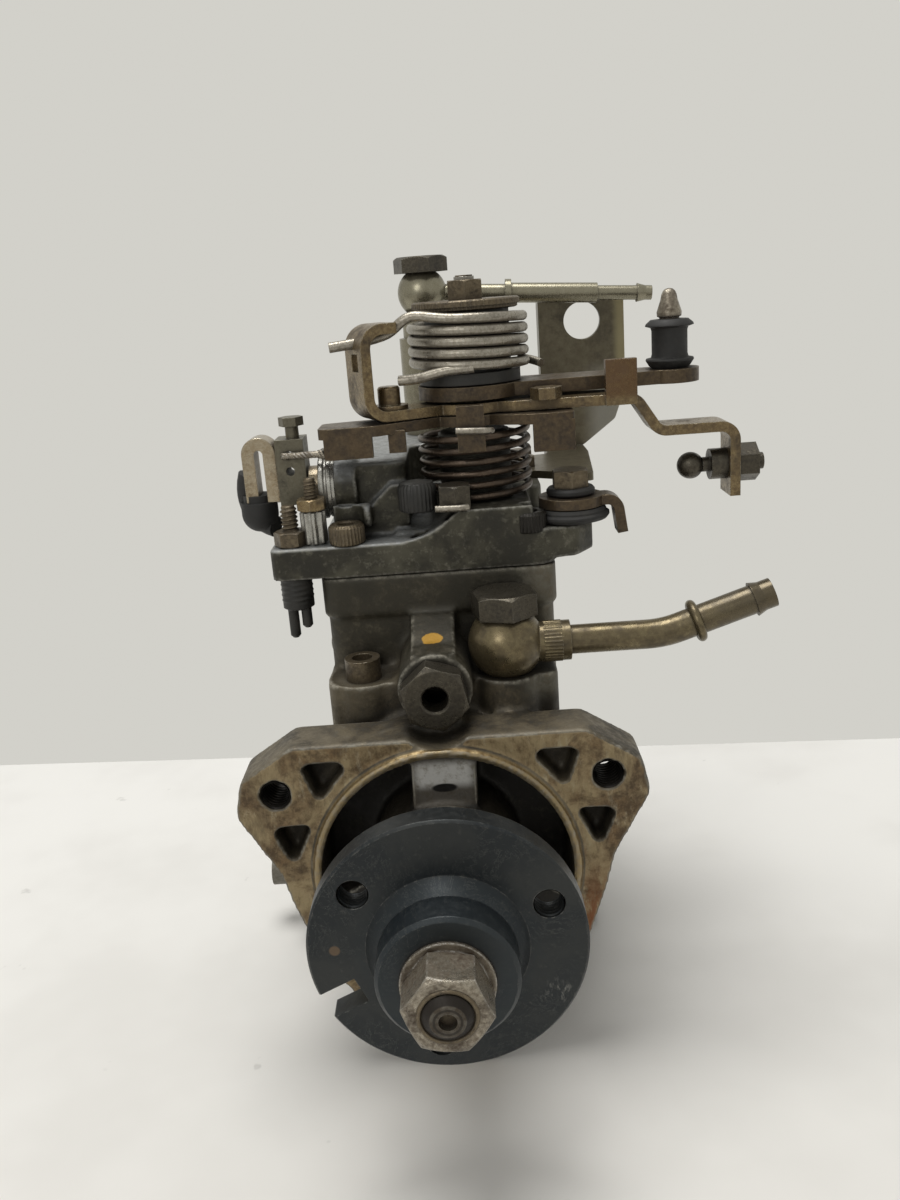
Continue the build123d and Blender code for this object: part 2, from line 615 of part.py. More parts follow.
sleeve_front_y = flyweight_rear_y + side_gap
sleeve_rear_y = lever_plate_y - 0.4
with BuildPart() as governor_shaft:
    rod_y(governor_shaft_radius, tower_front_y + 2, lever_plate_y - 6, 0, governor_z)
finish(governor_shaft, "governor_shaft")

with BuildPart() as sliding_sleeve:
    rod_y(sleeve_flange_radius, sleeve_front_y, sleeve_front_y + sleeve_flange_length, 0, governor_z)
    rod_y(sleeve_radius, sleeve_front_y, sleeve_rear_y - 2.5, 0, governor_z)
    rod_y(2.5, sleeve_rear_y - 3, sleeve_rear_y, 0, governor_z)
    rod_y(governor_shaft_radius + running_gap, sleeve_front_y - 1, sleeve_rear_y - 4, 0, governor_z,
          mode=Mode.SUBTRACT)
finish(sliding_sleeve, "sliding_sleeve")

# Four flyweights, each with its toe behind the sleeve flange
for index in range(4):
    turn = 90 * index
    with BuildPart() as flyweight:
        with BuildSketch(Plane.XY.offset(governor_z - flyweight_width / 2)) as flyweight_profile:
            with BuildLine():
                Polyline((flyweight_outer, flyweight_front_y), (flyweight_outer, flyweight_rear_y),
                         (flyweight_toe, flyweight_rear_y), (flyweight_toe, flyweight_rear_y - 2),
                         (flyweight_inner, flyweight_rear_y - 3.2), (flyweight_inner, flyweight_front_y + 1.5),
                         (flyweight_inner + 1.5, flyweight_front_y), close=True)
            make_face()
            heel = flyweight_profile.vertices().sort_by_distance((flyweight_outer, flyweight_front_y))[0]
            fillet(heel, flyweight_heel)
        extrude(amount=flyweight_width)
        block((0, flyweight_inner), (flyweight_rear_y - 5, flyweight_rear_y + 1),
              (governor_z + 3, governor_z + flyweight_width), mode=Mode.SUBTRACT)
        block((0, flyweight_inner), (flyweight_rear_y - 5, flyweight_rear_y + 1),
              (governor_z - flyweight_width, governor_z - 3), mode=Mode.SUBTRACT)
    turned = flyweight.part.rotate(Axis((0, 0, governor_z), (0, 1, 0)), -turn)
    turned.label = f"flyweight_{index + 1}"
    export_step(turned, f"parts/flyweight_{index + 1}.step")

# Governor lever on its pivot pin, with the ball that moves the spill ring
lever_middle_y = lever_plate_y + lever_plate_thickness / 2
with BuildPart() as governor_lever:
    plate([(-7, lever_pivot_z - 5), (7, lever_pivot_z - 5), (7, governor_z + 6), (4, lever_top_z),
           (-4, lever_top_z), (-7, governor_z + 6)], at_y(lever_plate_y + lever_plate_thickness),
          lever_plate_thickness, 2.5)
    rod_z(2.0, spill_ball_z, lever_pivot_z - 4, 0, lever_middle_y)
    with Locations((0, lever_middle_y, spill_ball_z)):
        Sphere(2.3)
    rod_x(3.2, -7, 7, lever_middle_y, lever_pivot_z)
    rod_x(1.5 + running_gap, -8, 8, lever_middle_y, lever_pivot_z, mode=Mode.SUBTRACT)
finish(governor_lever, "governor_lever")

spring_z = lever_top_z - 3
governor_spring_x = 5.0
governor_spring_y = 66.3
with BuildPart() as governor_spring:
    rod_y(4.0, governor_spring_y, lever_plate_y - side_gap, governor_spring_x, spring_z)
    rod_y(2.6, governor_spring_y - 1, lever_plate_y, governor_spring_x, spring_z, mode=Mode.SUBTRACT)
finish(governor_spring, "governor_spring")

# Roller ring with its four rollers and the timing pin, timing piston and spring
roller_ring_rear_y = roller_ring_front_y + roller_ring_length
with BuildPart() as roller_ring:
    rod_y(roller_ring_radius, roller_ring_front_y, roller_ring_rear_y)
    rod_y(roller_ring_bore, roller_ring_front_y - 1, roller_ring_rear_y + 1, mode=Mode.SUBTRACT)
    for index in range(4):
        with Locations(Location((0, roller_ring_rear_y, 0), (0, -45 - 90 * index, 0))):
            with Locations(Location((roller_circle, 0, 0), (0, 90, 0))):
                Cylinder(roller_radius + 0.1, 9, mode=Mode.SUBTRACT)
    for index in range(4):
        with Locations(Location((0, roller_ring_rear_y, 0), (0, -45 - 90 * index, 0))):
            with Locations(Location((roller_circle, 0, 0), (0, 90, 0))):
                Cylinder(roller_radius, 8.6)
    rod_z(timing_pin_radius, timing_z, 2 - roller_ring_radius, 0, timing_y)
finish(roller_ring, "roller_ring")

spring_seat_x = 9 - timing_piston_length / 2
with BuildPart() as timing_piston:
    rod_x(timing_piston_radius, -timing_piston_length / 2, timing_piston_length / 2, timing_y, timing_z)
    block((-6.8, 6.8), (timing_y - 3.9, timing_y + 3.9), (timing_z - 1, timing_z + 20), mode=Mode.SUBTRACT)
    rod_x(8, -timing_piston_length / 2 - 1, spring_seat_x, timing_y, timing_z, mode=Mode.SUBTRACT)
finish(timing_piston, "timing_piston")

cover_plate = 4.0
spring_cap_depth = 11.0
spring_stop_x = timing_left_x - spring_cap_depth + 3
with BuildPart() as timing_spring:
    coil = spring(6.2, 1.2, 5, 0, spring_seat_x - spring_stop_x - 0.4, 0, 0)
    add(coil.rotate(Axis.Y, -90).moved(Location((spring_seat_x - 0.2, timing_y, timing_z))))
finish(timing_spring, "timing_spring")

with BuildPart() as timing_covers:
    rod_x(timing_barrel_radius, timing_left_x - spring_cap_depth, timing_left_x, timing_y, timing_z)
    rod_x(5, timing_left_x - spring_cap_depth - 11, timing_left_x - spring_cap_depth + 1, timing_y, timing_z + 3.5)
    rod_x(timing_piston_radius, spring_stop_x, timing_left_x + 1, timing_y, timing_z, mode=Mode.SUBTRACT)
    rod_x(timing_barrel_radius, timing_right_x, timing_right_x + cover_plate, timing_y, timing_z)
finish(timing_covers, "timing_covers")

# Cam plate and plunger turn with the shaft
cam_front_y = roller_ring_rear_y + roller_radius + side_gap
cam_rear_y = cam_front_y + cam_lobe_height + cam_plate_thickness
with BuildPart() as cam_plate:
    rod_y(cam_plate_radius, cam_front_y + cam_lobe_height, cam_rear_y)
    for index in range(4):
        with Locations(Location((0, cam_front_y + cam_lobe_height, 0), (0, -45 - 90 * index, 0))):
            with Locations(Location((roller_circle - 1, 4, 0), (0, 90, 0))):
                Cylinder(cam_lobe_height + 4, 7)
    rod_y(cam_plate_radius + 2, cam_rear_y, cam_rear_y + 12, mode=Mode.SUBTRACT)
    rod_y(roller_ring_bore - 1.5, shaft_rear_y + 14, cam_rear_y)
    for side in (-1, 1):
        block((-claw_width / 2, claw_width / 2), (shaft_rear_y + 2, cam_rear_y), sorted((side * 4.5, side * 13)))
finish(cam_plate, "cam_plate")

plunger_rear_y = 138.0
with BuildPart() as plunger:
    rod_y(plunger_radius, cam_rear_y, plunger_rear_y)
    rod_y(plunger_radius + 3, cam_rear_y, cam_rear_y + 1)
finish(plunger, "plunger")

spill_front_y = lever_middle_y - spill_ring_length / 2
with BuildPart() as spill_ring:
    rod_y(spill_ring_radius, spill_front_y, spill_front_y + spill_ring_length)
    rod_y(plunger_radius + running_gap, spill_front_y - 1, spill_front_y + spill_ring_length + 1,
          mode=Mode.SUBTRACT)
    rod_z(2.5, plunger_radius + 1.6, spill_ring_radius + 1, 0, lever_middle_y, mode=Mode.SUBTRACT)
finish(spill_ring, "spill_ring")

# Distributor head with delivery valve holders, plug and screws
outlet_places = [(outlet_circle * cos(radians(45 + 360 / outlet_count * index)),
                  outlet_circle * sin(radians(45 + 360 / outlet_count * index)))
                 for index in range(outlet_count)]
with BuildPart() as distributor_head:
    with BuildSketch(at_y(housing_rear_y + head_flange_thickness)):
        RectangleRounded(2 * head_flange, 2 * head_flange, 9)
    extrude(amount=head_flange_thickness)
    rod_y(head_radius, housing_rear_y, head_rear_y)
    rod_y(chamber_radius - 0.05, housing_rear_y - 6, housing_rear_y)
    rod_y(12, housing_rear_y - 9, housing_rear_y)
    rod_z(solenoid_radius + 1, 20, solenoid_seat_z, 0, solenoid_y)
    rod_y(plunger_radius + running_gap, housing_rear_y - 10, head_rear_y - 6, mode=Mode.SUBTRACT)
    rod_y(plug_radius - 1.5, head_rear_y - 10, head_rear_y + 1, mode=Mode.SUBTRACT)
    rod_z(5, 12, solenoid_seat_z + 1, 0, solenoid_y, mode=Mode.SUBTRACT)
    for outlet_x, outlet_z in outlet_places:
        rod_y(7, head_rear_y - 13, head_rear_y + 1, outlet_x, outlet_z, mode=Mode.SUBTRACT)
    for screw_x in (-head_screw_offset, head_screw_offset):
        for screw_z in (-head_screw_offset, head_screw_offset):
            rod_y(cap_screw_radius, housing_rear_y - 1, head_rear_y + 5, screw_x, screw_z, mode=Mode.SUBTRACT)
            rod_y(cap_head_radius + 1, housing_rear_y + head_flange_thickness, head_rear_y + 5,
                  screw_x, screw_z, mode=Mode.SUBTRACT)
finish(distributor_head, "distributor_head")

with BuildPart() as head_plug:
    rod_y(plug_radius - 1.5, head_rear_y - 5, head_rear_y)
    hexagon_prism(at_y(head_rear_y + 5), 2 * plug_radius - 1, 5)
finish(head_plug, "head_plug")

with BuildPart() as delivery_valve_holders:
    for outlet_x, outlet_z in outlet_places:
        rod_y(6.95, head_rear_y - 8, head_rear_y, outlet_x, outlet_z)
        hexagon_prism(Plane.XZ.offset(-head_rear_y - 11) * Location((outlet_x, outlet_z, 0)), outlet_flats, 11)
        rod_y(6, head_rear_y + 11, outlet_rear_y, outlet_x, outlet_z)
    for outlet_x, outlet_z in outlet_places:
        rod_y(valve_radius + 0.05, head_rear_y - 9, head_rear_y + 4, outlet_x, outlet_z, mode=Mode.SUBTRACT)
        rod_y(1.2, head_rear_y, outlet_rear_y + 1, outlet_x, outlet_z, mode=Mode.SUBTRACT)
        with Locations(Location((outlet_x, outlet_rear_y - 2, outlet_z), (-90, 0, 0))):
            Cone(1.2, 3.6, 4.1, mode=Mode.SUBTRACT)
finish(delivery_valve_holders, "delivery_valve_holders")

with BuildPart() as delivery_valves:
    for outlet_x, outlet_z in outlet_places:
        rod_y(valve_radius, head_rear_y - 8.5, head_rear_y + 1.5, outlet_x, outlet_z)
        rod_y(5.5, head_rear_y - 12.7, head_rear_y - 10, outlet_x, outlet_z)
        rod_y(1.5, head_rear_y - 12, head_rear_y - 8, outlet_x, outlet_z)
finish(delivery_valves, "delivery_valves")

# Fuel-cut solenoid and its plunger
with BuildPart() as fuel_cut_solenoid:
    rod_z(solenoid_radius, solenoid_seat_z, solenoid_top_z - 8, 0, solenoid_y)
    hexagon_prism(Plane((0, solenoid_y, solenoid_seat_z), z_dir=(0, 0, 1)), 24, 8)
    rod_z(solenoid_radius - 3, solenoid_top_z - 8, solenoid_top_z - 5, 0, solenoid_y)
    rod_z(2.5, solenoid_top_z - 6, solenoid_top_z + 4, 0, solenoid_y)
    hexagon_prism(Plane((0, solenoid_y, solenoid_top_z - 5), z_dir=(0, 0, 1)), 8, 4)
    rod_z(4 + 0.05, solenoid_seat_z - 1, solenoid_seat_z + 14, 0, solenoid_y, mode=Mode.SUBTRACT)
finish(fuel_cut_solenoid, "fuel_cut_solenoid")

with BuildPart() as solenoid_plunger:
    rod_z(4, 15.2, solenoid_seat_z + 9, 0, solenoid_y)
    with Locations((0, solenoid_y, 13.8)):
        Cone(2, 4, 3)
finish(solenoid_plunger, "solenoid_plunger")

# Screws of the head and timing covers, the pad screw and the side plug
with BuildPart() as housing_screws:
    for screw_x in (-head_screw_offset, head_screw_offset):
        for screw_z in (-head_screw_offset, head_screw_offset):
            rod_y(cap_screw_radius, housing_rear_y - 8, housing_rear_y + head_flange_thickness, screw_x, screw_z)
            rod_y(cap_head_radius, housing_rear_y + head_flange_thickness,
                  housing_rear_y + head_flange_thickness + cap_head_height, screw_x, screw_z)
            rod_y(2.6, housing_rear_y + head_flange_thickness + 2, housing_rear_y + head_flange_thickness + 9,
                  screw_x, screw_z, mode=Mode.SUBTRACT)
    rod_z(cap_screw_radius, neck_top_z - 8, neck_top_z, screw_pad_x, screw_pad_y)
    rod_z(cap_head_radius, neck_top_z - 1, neck_top_z + cap_head_height, screw_pad_x, screw_pad_y)
    rod_z(3.1, neck_top_z + 2, neck_top_z + cap_head_height + 1, screw_pad_x, screw_pad_y, mode=Mode.SUBTRACT)
    rod_x(3.4, tower_right_x - wall + 1.5, tower_right_x + 6.5, side_plug_y, side_plug_z)
    rod_x(pivot_radius, tower_left_x, tower_right_x, lever_middle_y, lever_pivot_z)
    for low, high in ((tower_left_x - 3, tower_left_x), (tower_right_x, tower_right_x + 3)):
        rod_x(4, low, high, lever_middle_y, lever_pivot_z)
finish(housing_screws, "housing_screws")

# Pressure regulating valve
with BuildPart() as regulating_valve:
    hexagon_prism(at_y(valve_front_y + banjo_head) * Location((0, valve_z, 0)), valve_flats, banjo_head, turn=18)
    rod_y(6.98, valve_front_y + banjo_head, chamber_front_y - 5, 0, valve_z)
    rod_y(3.6, valve_front_y - 1, valve_front_y + 5, 0, valve_z, mode=Mode.SUBTRACT)
finish(regulating_valve, "regulating_valve")

# Inlet banjo: bolt, ball union and bent pipe with bead and barb
inlet_ball_z = neck_top_z + inlet_ball_height / 2
inlet_top_z = neck_top_z + inlet_ball_height
inlet_bend_x = 66.5
inlet_rise = 18.0
inlet_rise_length = 33.0
with BuildPart() as inlet_banjo_bolt:
    rod_z(5.95, neck_top_z - 9, inlet_top_z, inlet_x, inlet_y)
    hexagon_prism(Plane((inlet_x, inlet_y, inlet_top_z), z_dir=(0, 0, 1)), banjo_flats, banjo_head, turn=12)
finish(inlet_banjo_bolt, "inlet_banjo_bolt")

inlet_pipe_z = inlet_ball_z - 0.6
inlet_tip = Vector(inlet_bend_x + inlet_rise_length * cos(radians(inlet_rise)), inlet_y,
                   inlet_pipe_z + inlet_rise_length * sin(radians(inlet_rise)))
with BuildPart() as inlet_union:
    with Locations((inlet_x, inlet_y, inlet_ball_z)):
        Sphere(inlet_ball_radius)
    block((inlet_x - 12, inlet_x + 12), (inlet_y - 12, inlet_y + 12), (inlet_top_z, inlet_top_z + 9),
          mode=Mode.SUBTRACT)
    block((inlet_x - 12, inlet_x + 12), (inlet_y - 12, inlet_y + 12), (neck_top_z - 9, neck_top_z),
          mode=Mode.SUBTRACT)
    rod_x(inlet_pipe_radius + 1.6, inlet_x + 8, inlet_x + 18.5, inlet_y, inlet_pipe_z)
    with BuildLine() as inlet_path:
        FilletPolyline((inlet_x + 9, inlet_y, inlet_pipe_z), (inlet_bend_x, inlet_y, inlet_pipe_z), inlet_tip,
                       radius=30)
    with BuildSketch(Plane((inlet_x + 9, inlet_y, inlet_pipe_z), z_dir=(1, 0, 0))):
        Circle(inlet_pipe_radius)
    sweep()
    bead_middle = Vector(inlet_bend_x + 10 * cos(radians(inlet_rise)), inlet_y,
                         inlet_pipe_z + 10 * sin(radians(inlet_rise)))
    with Locations(Plane(bead_middle, z_dir=(cos(radians(inlet_rise)), 0, sin(radians(inlet_rise))))):
        Cylinder(inlet_pipe_radius + 1.3, 2.2)
    with Locations(Plane(inlet_tip, z_dir=(cos(radians(inlet_rise)), 0, sin(radians(inlet_rise))))):
        with Locations((0, 0, -3)):
            Cone(inlet_pipe_radius + 0.8, inlet_pipe_radius - 1, 6)
        Cylinder(inlet_pipe_radius - 1.4, 24, mode=Mode.SUBTRACT)
    rod_z(6, neck_top_z - 1, inlet_top_z + 1, inlet_x, inlet_y, mode=Mode.SUBTRACT)
finish(inlet_union, "inlet_union")

# Return banjo on its post
return_ball_z = return_post_top_z + 6.6
return_ball_top_z = return_post_top_z + 13.2
with BuildPart() as return_post:
    rod_z(9, cover_tower_z, return_post_top_z - 8, return_x, return_y)
    rod_z(7.5, return_post_top_z - 8, return_post_top_z, return_x, return_y)
    rod_z(4, return_post_top_z - 12, return_post_top_z + 1, return_x, return_y, mode=Mode.SUBTRACT)
finish(return_post, "return_post")

with BuildPart() as return_banjo_bolt:
    rod_z(3.95, return_post_top_z - 11, return_ball_top_z, return_x, return_y)
    hexagon_prism(Plane((return_x, return_y, return_ball_top_z), z_dir=(0, 0, 1)), 16, 5.2, turn=20)
finish(return_banjo_bolt, "return_banjo_bolt")

return_end_x = 80.0
return_step_x = 61.5
return_drop = 0.07
with BuildPart() as return_union:
    with Locations((return_x, return_y, return_ball_z)):
        Sphere(return_ball_radius)
    for low, high in ((return_post_top_z - 4, return_post_top_z), (return_ball_top_z, return_ball_top_z + 4)):
        block((return_x - 10, return_x + 10), (return_y - 10, return_y + 10), (low, high), mode=Mode.SUBTRACT)
    slope = degrees(atan2(return_drop, 1))
    with Locations(Location((return_x, return_y, return_ball_z), (0, 90 + slope, 0))):
        Cylinder(return_pipe_radius - 0.4, 30, align=(Align.CENTER, Align.CENTER, Align.MIN))
        with Locations((0, 0, 28)):
            Cylinder(return_pipe_radius + 1.2, 2, align=(Align.CENTER, Align.CENTER, Align.MIN))
        with Locations((0, 0, 30)):
            Cylinder(return_pipe_radius, return_step_x - 30 - return_x,
                     align=(Align.CENTER, Align.CENTER, Align.MIN))
        with Locations((0, 0, return_step_x - return_x)):
            Cylinder(return_tip_radius, return_end_x - return_step_x, align=(Align.CENTER, Align.CENTER, Align.MIN))
        with Locations((0, 0, return_end_x - return_x - 5)):
            Cone(return_tip_radius + 0.7, return_tip_radius - 0.5, 5, align=(Align.CENTER, Align.CENTER, Align.MIN))
        with Locations((0, 0, return_end_x - return_x - 15)):
            Cylinder(1.3, 16, align=(Align.CENTER, Align.CENTER, Align.MIN), mode=Mode.SUBTRACT)
    rod_z(4, return_post_top_z - 1, return_ball_top_z + 1, return_x, return_y, mode=Mode.SUBTRACT)
finish(return_union, "return_union")

# Lever shaft with the pin that works the governor spring
with BuildPart() as lever_shaft:
    rod_z(lever_shaft_radius, cover_top_z - 8, shaft_lever_z, lever_x, lever_y)
    rod_z(lever_shaft_radius - 0.5, shaft_lever_z, retainer_z + retainer_thickness, lever_x, lever_y)
    rod_z(3, retainer_z, retainer_z + retainer_thickness + lever_nut_height - 0.5, lever_x, lever_y)
    rod_z(9.5, cover_top_z - 8, cover_top_z - 6, lever_x, lever_y)
    rod_z(2, lever_top_z - 5, cover_top_z - 7, lever_x - 6.5, lever_y + 3)
finish(lever_shaft, "lever_shaft")

bore_radius = lever_shaft_radius - 0.5


# Shaft lever: hub plate with three arms whose ends are bent down
front_tab_radius = 18.1
with BuildPart() as shaft_lever:
    plate([(lever_x - 9, lever_y - 11), (lever_x - 28, lever_y - 22), (lever_x - 45, lever_y - 22),
           (lever_x - 45, lever_y - 8), (lever_x - 24, lever_y - 4), (lever_x - 8, lever_y + 10)],
          Plane.XY.offset(shaft_lever_z), plate_thickness, 2)
    plate([(lever_x + 2, lever_y - 13), (lever_x + 17, lever_y - 20), (lever_x + 29, lever_y - 20),
           (lever_x + 29, lever_y - 9), (lever_x + 8, lever_y + 10)],
          Plane.XY.offset(shaft_lever_z), plate_thickness, 2)
    rod_z(15, shaft_lever_z, shaft_lever_z + plate_thickness, lever_x, lever_y)
    block((lever_x - 43.5, lever_x - 29.5), (lever_y - 22, lever_y - 19), (112, shaft_lever_z + 1))
    block((lever_x - 25, lever_x - 20), (lever_y - 19, lever_y - 16), (112.5, shaft_lever_z + 1))
    block((lever_x + 17, lever_x + 29), (lever_y - 20, lever_y - 17), (110, shaft_lever_z + 1))
    block((lever_x - 5, lever_x + 3), (lever_y - front_tab_radius - 2.6, lever_y - 10),
          (shaft_lever_z, shaft_lever_z + plate_thickness))
    block((lever_x - 5, lever_x + 3), (lever_y - front_tab_radius - 2.6, lever_y - front_tab_radius + 0.2),
          (111.4, accelerator_z + 3.3))
    rod_z(bore_radius, shaft_lever_z - 1, shaft_lever_z + 4, lever_x, lever_y, mode=Mode.SUBTRACT)
finish(shaft_lever, "shaft_lever")

# Accelerator lever: C-bracket on the left, upturned tab and Z-bracket on the right
bracket_angle = 205
bracket_radius = 33.7
bracket_width = 13.0
bracket_top = 149.0
arm_end_x = 63.5
z_strip_z = 111.3
z_end_x = 90.8
z_bottom_z = 92.0
ball_z = 101.0
with BuildPart() as accelerator_lever:
    rod_z(14.2, accelerator_z, accelerator_z + plate_thickness, lever_x, lever_y)
    plate([(lever_x, lever_y - 9), (lever_x + 12, lever_y - 14), (arm_end_x, lever_y - 16), (arm_end_x, lever_y - 2),
           (lever_x + 14, lever_y + 6), (lever_x, lever_y + 10)],
          Plane.XY.offset(accelerator_z), plate_thickness, 3)
    block((arm_end_x - 9, arm_end_x), (lever_y - 17, lever_y - 14), (accelerator_z, accelerator_z + 13))
    radial = Vector(cos(radians(bracket_angle)), sin(radians(bracket_angle)), 0)
    bracket_plane = Plane((lever_x, lever_y, 0), x_dir=radial, z_dir=radial.cross(Vector(0, 0, 1)))
    strip_middle = bracket_radius + 1.5
    bent_strip([(bore_radius + 4, accelerator_z + plate_thickness / 2), (strip_middle, accelerator_z + plate_thickness / 2),
                (strip_middle, bracket_top - plate_thickness / 2), (strip_middle - 10, bracket_top - plate_thickness / 2)],
               bracket_plane, bracket_width, plate_thickness, 5.5)
    with Locations(bracket_plane * Location((strip_middle, bracket_top - 10.5, -1))):
        Box(6, 5, 5, mode=Mode.SUBTRACT)
    # Z-bracket: one strip bent down, along and down again
    z_plane = at_y(lever_y - 9)
    bent_strip([(arm_end_x - 6, accelerator_z + plate_thickness / 2), (arm_end_x, accelerator_z + plate_thickness / 2),
                (arm_end_x + 6.5, z_strip_z + plate_thickness / 2), (z_end_x + plate_thickness / 2, z_strip_z + plate_thickness / 2),
                (z_end_x + plate_thickness / 2, z_bottom_z)], z_plane, 12, plate_thickness, 4.2)
    hexagon_prism(Plane((lever_x + 21.5, lever_y - 13.6, accelerator_z + plate_thickness), z_dir=(0, 0, 1)), 8, 3.4)
    rod_z(9.5, accelerator_z, cable_lever_z - plate_gap, lever_x, lever_y)
    rod_z(bore_radius, accelerator_z - 1, accelerator_z + 4, lever_x, lever_y, mode=Mode.SUBTRACT)
    rod_x(2.5, z_end_x - 1, z_end_x + 4, lever_y - 9, ball_z, mode=Mode.SUBTRACT)
finish(accelerator_lever, "accelerator_lever")

# Ball stud through the Z-bracket, with washer and nut
ball_radius = 4.0
ball_x = 80.2
with BuildPart() as ball_stud:
    with Locations((ball_x, lever_y - 9, ball_z)):
        Sphere(ball_radius)
    rod_x(2.2, ball_x, z_end_x - 4, lever_y - 9, ball_z)
    rod_x(4.6, z_end_x - 5, z_end_x, lever_y - 9, ball_z)
    rod_x(2.5, z_end_x - 1, z_end_x + 11, lever_y - 9, ball_z)
    hexagon_prism(Plane((z_end_x + 3, lever_y - 9, ball_z), z_dir=(1, 0, 0)), 10, 6)
finish(ball_stud, "ball_stud")

# Cable lever: hub disc with an arm that ends in a round pad
pad_x = 76.4
pad_y = lever_y + 1
with BuildPart() as cable_lever:
    rod_z(15.8, cable_lever_z, cable_lever_z + cable_plate_thickness, lever_x, lever_y)
    plate([(lever_x, lever_y - 10), (lever_x + 18, lever_y - 9), (pad_x, pad_y - 7), (pad_x, pad_y + 7),
           (lever_x + 18, lever_y + 10), (lever_x, lever_y + 13)],
          Plane.XY.offset(cable_lever_z), cable_plate_thickness, 2)
    rod_z(8.6, cable_lever_z, cable_lever_z + cable_plate_thickness, pad_x, pad_y)
    rod_z(bore_radius + running_gap, cable_lever_z - 1, cable_lever_z + 5, lever_x, lever_y, mode=Mode.SUBTRACT)
    rod_z(3, cable_lever_z - 1, cable_lever_z + 5, pad_x, pad_y, mode=Mode.SUBTRACT)
finish(cable_lever, "cable_lever")

cable_top_z = cable_lever_z + cable_plate_thickness
with BuildPart() as cable_pin:
    rod_z(3, cable_lever_z, cable_top_z + 15, pad_x, pad_y)
    rod_z(4.5, cable_lever_z - 1.5, cable_lever_z, pad_x, pad_y)
    with Locations((pad_x, pad_y, cable_top_z + 18.2)):
        Cone(3.6, 1.6, 6.4)
finish(cable_pin, "cable_pin")

with BuildPart() as cable_bush:
    with BuildSketch(Plane.XZ):
        with BuildLine():
            Polyline((3, 0), (5.2, 0), (7.2, 2.6), (5.3, 3.4), (5.3, 12), (7.2, 12.6), (5.4, 14.4), (3, 14.4), close=True)
        make_face()
    revolve(axis=Axis.Z)
bush_part = cable_bush.part.moved(Location((pad_x, pad_y, cable_top_z)))
bush_part.label = "cable_bush"
export_step(bush_part, "parts/cable_bush.step")

# Collar, springs, retainer and nut of the stack
with BuildPart() as spring_collar:
    rod_z(15.2, collar_z, collar_z + collar_thickness, lever_x, lever_y)
    rod_z(12.6, collar_z, retainer_z, lever_x, lever_y)
    rod_z(bore_radius, collar_z - 1, retainer_z + 1, lever_x, lever_y, mode=Mode.SUBTRACT)
finish(spring_collar, "spring_collar")

with BuildPart() as spring_retainer:
    rod_z(retainer_radius, retainer_z, retainer_z + retainer_thickness, lever_x, lever_y)
    rod_z(bore_radius, retainer_z - 1, retainer_z + 4, lever_x, lever_y, mode=Mode.SUBTRACT)
finish(spring_retainer, "spring_retainer")

retainer_top_z = retainer_z + retainer_thickness
with BuildPart() as lever_nut:
    hexagon_prism(Plane((lever_x, lever_y, retainer_top_z), z_dir=(0, 0, 1)), lever_nut_flats, lever_nut_height)
    rod_z(3, retainer_top_z - 1, retainer_top_z + lever_nut_height + 1, lever_x, lever_y, mode=Mode.SUBTRACT)
finish(lever_nut, "lever_nut")

upper_spring_z = collar_z + collar_thickness + 0.3
with BuildPart() as upper_spring:
    coil = spring(upper_spring_radius, upper_wire_radius, upper_turns, 0,
                  retainer_z - 0.3 - upper_spring_z, 0, 0)
    add(coil.moved(Location((lever_x, lever_y, upper_spring_z))))
finish(upper_spring, "upper_spring")

lower_spring_z = cover_top_z + 0.3
with BuildPart() as lower_spring:
    coil = spring(lower_spring_radius, lower_wire_radius, lower_turns, 0,
                  shaft_lever_z - 0.3 - lower_spring_z, 0, 0)
    add(coil.moved(Location((lever_x, lever_y, lower_spring_z))))
finish(lower_spring, "lower_spring")

# Stop lever on the right ear
stop_plate_z = stop_seat_z + 4.2
with BuildPart() as stop_lever:
    rod_z(9.6, stop_plate_z, stop_plate_z + 3, stop_x, stop_y)
    plate([(stop_x, stop_y - 6), (stop_x + 7, stop_y - 6), (stop_x + 9, stop_y - 4), (stop_x + 9, stop_y + 3),
           (stop_x + 6, stop_y + 7), (stop_x, stop_y + 8)], Plane.XY.offset(stop_plate_z), 3, 1.8)
    bent_strip([(stop_x + 6, stop_plate_z + 1.5), (stop_x + 13.4, stop_plate_z + 1.5), (stop_x + 14.8, 84)],
               at_y(stop_y - 0.5), 7, plate_thickness, 3.5)
    rod_z(cap_screw_radius + 0.05, stop_plate_z - 1, stop_plate_z + 4, stop_x, stop_y, mode=Mode.SUBTRACT)
finish(stop_lever, "stop_lever")

with BuildPart() as stop_lever_bolt:
    rod_z(cap_screw_radius, joint_z - 3, stop_plate_z + 6, stop_x, stop_y)
    hexagon_prism(Plane((stop_x, stop_y, stop_plate_z + 5.5), z_dir=(0, 0, 1)), 10, 5.2)
    rod_z(7, stop_plate_z + 3.3, stop_plate_z + 5.5, stop_x, stop_y)
    rod_z(11.3, stop_seat_z, stop_seat_z + 3.9, stop_x, stop_y)
finish(stop_lever_bolt, "stop_lever_bolt")

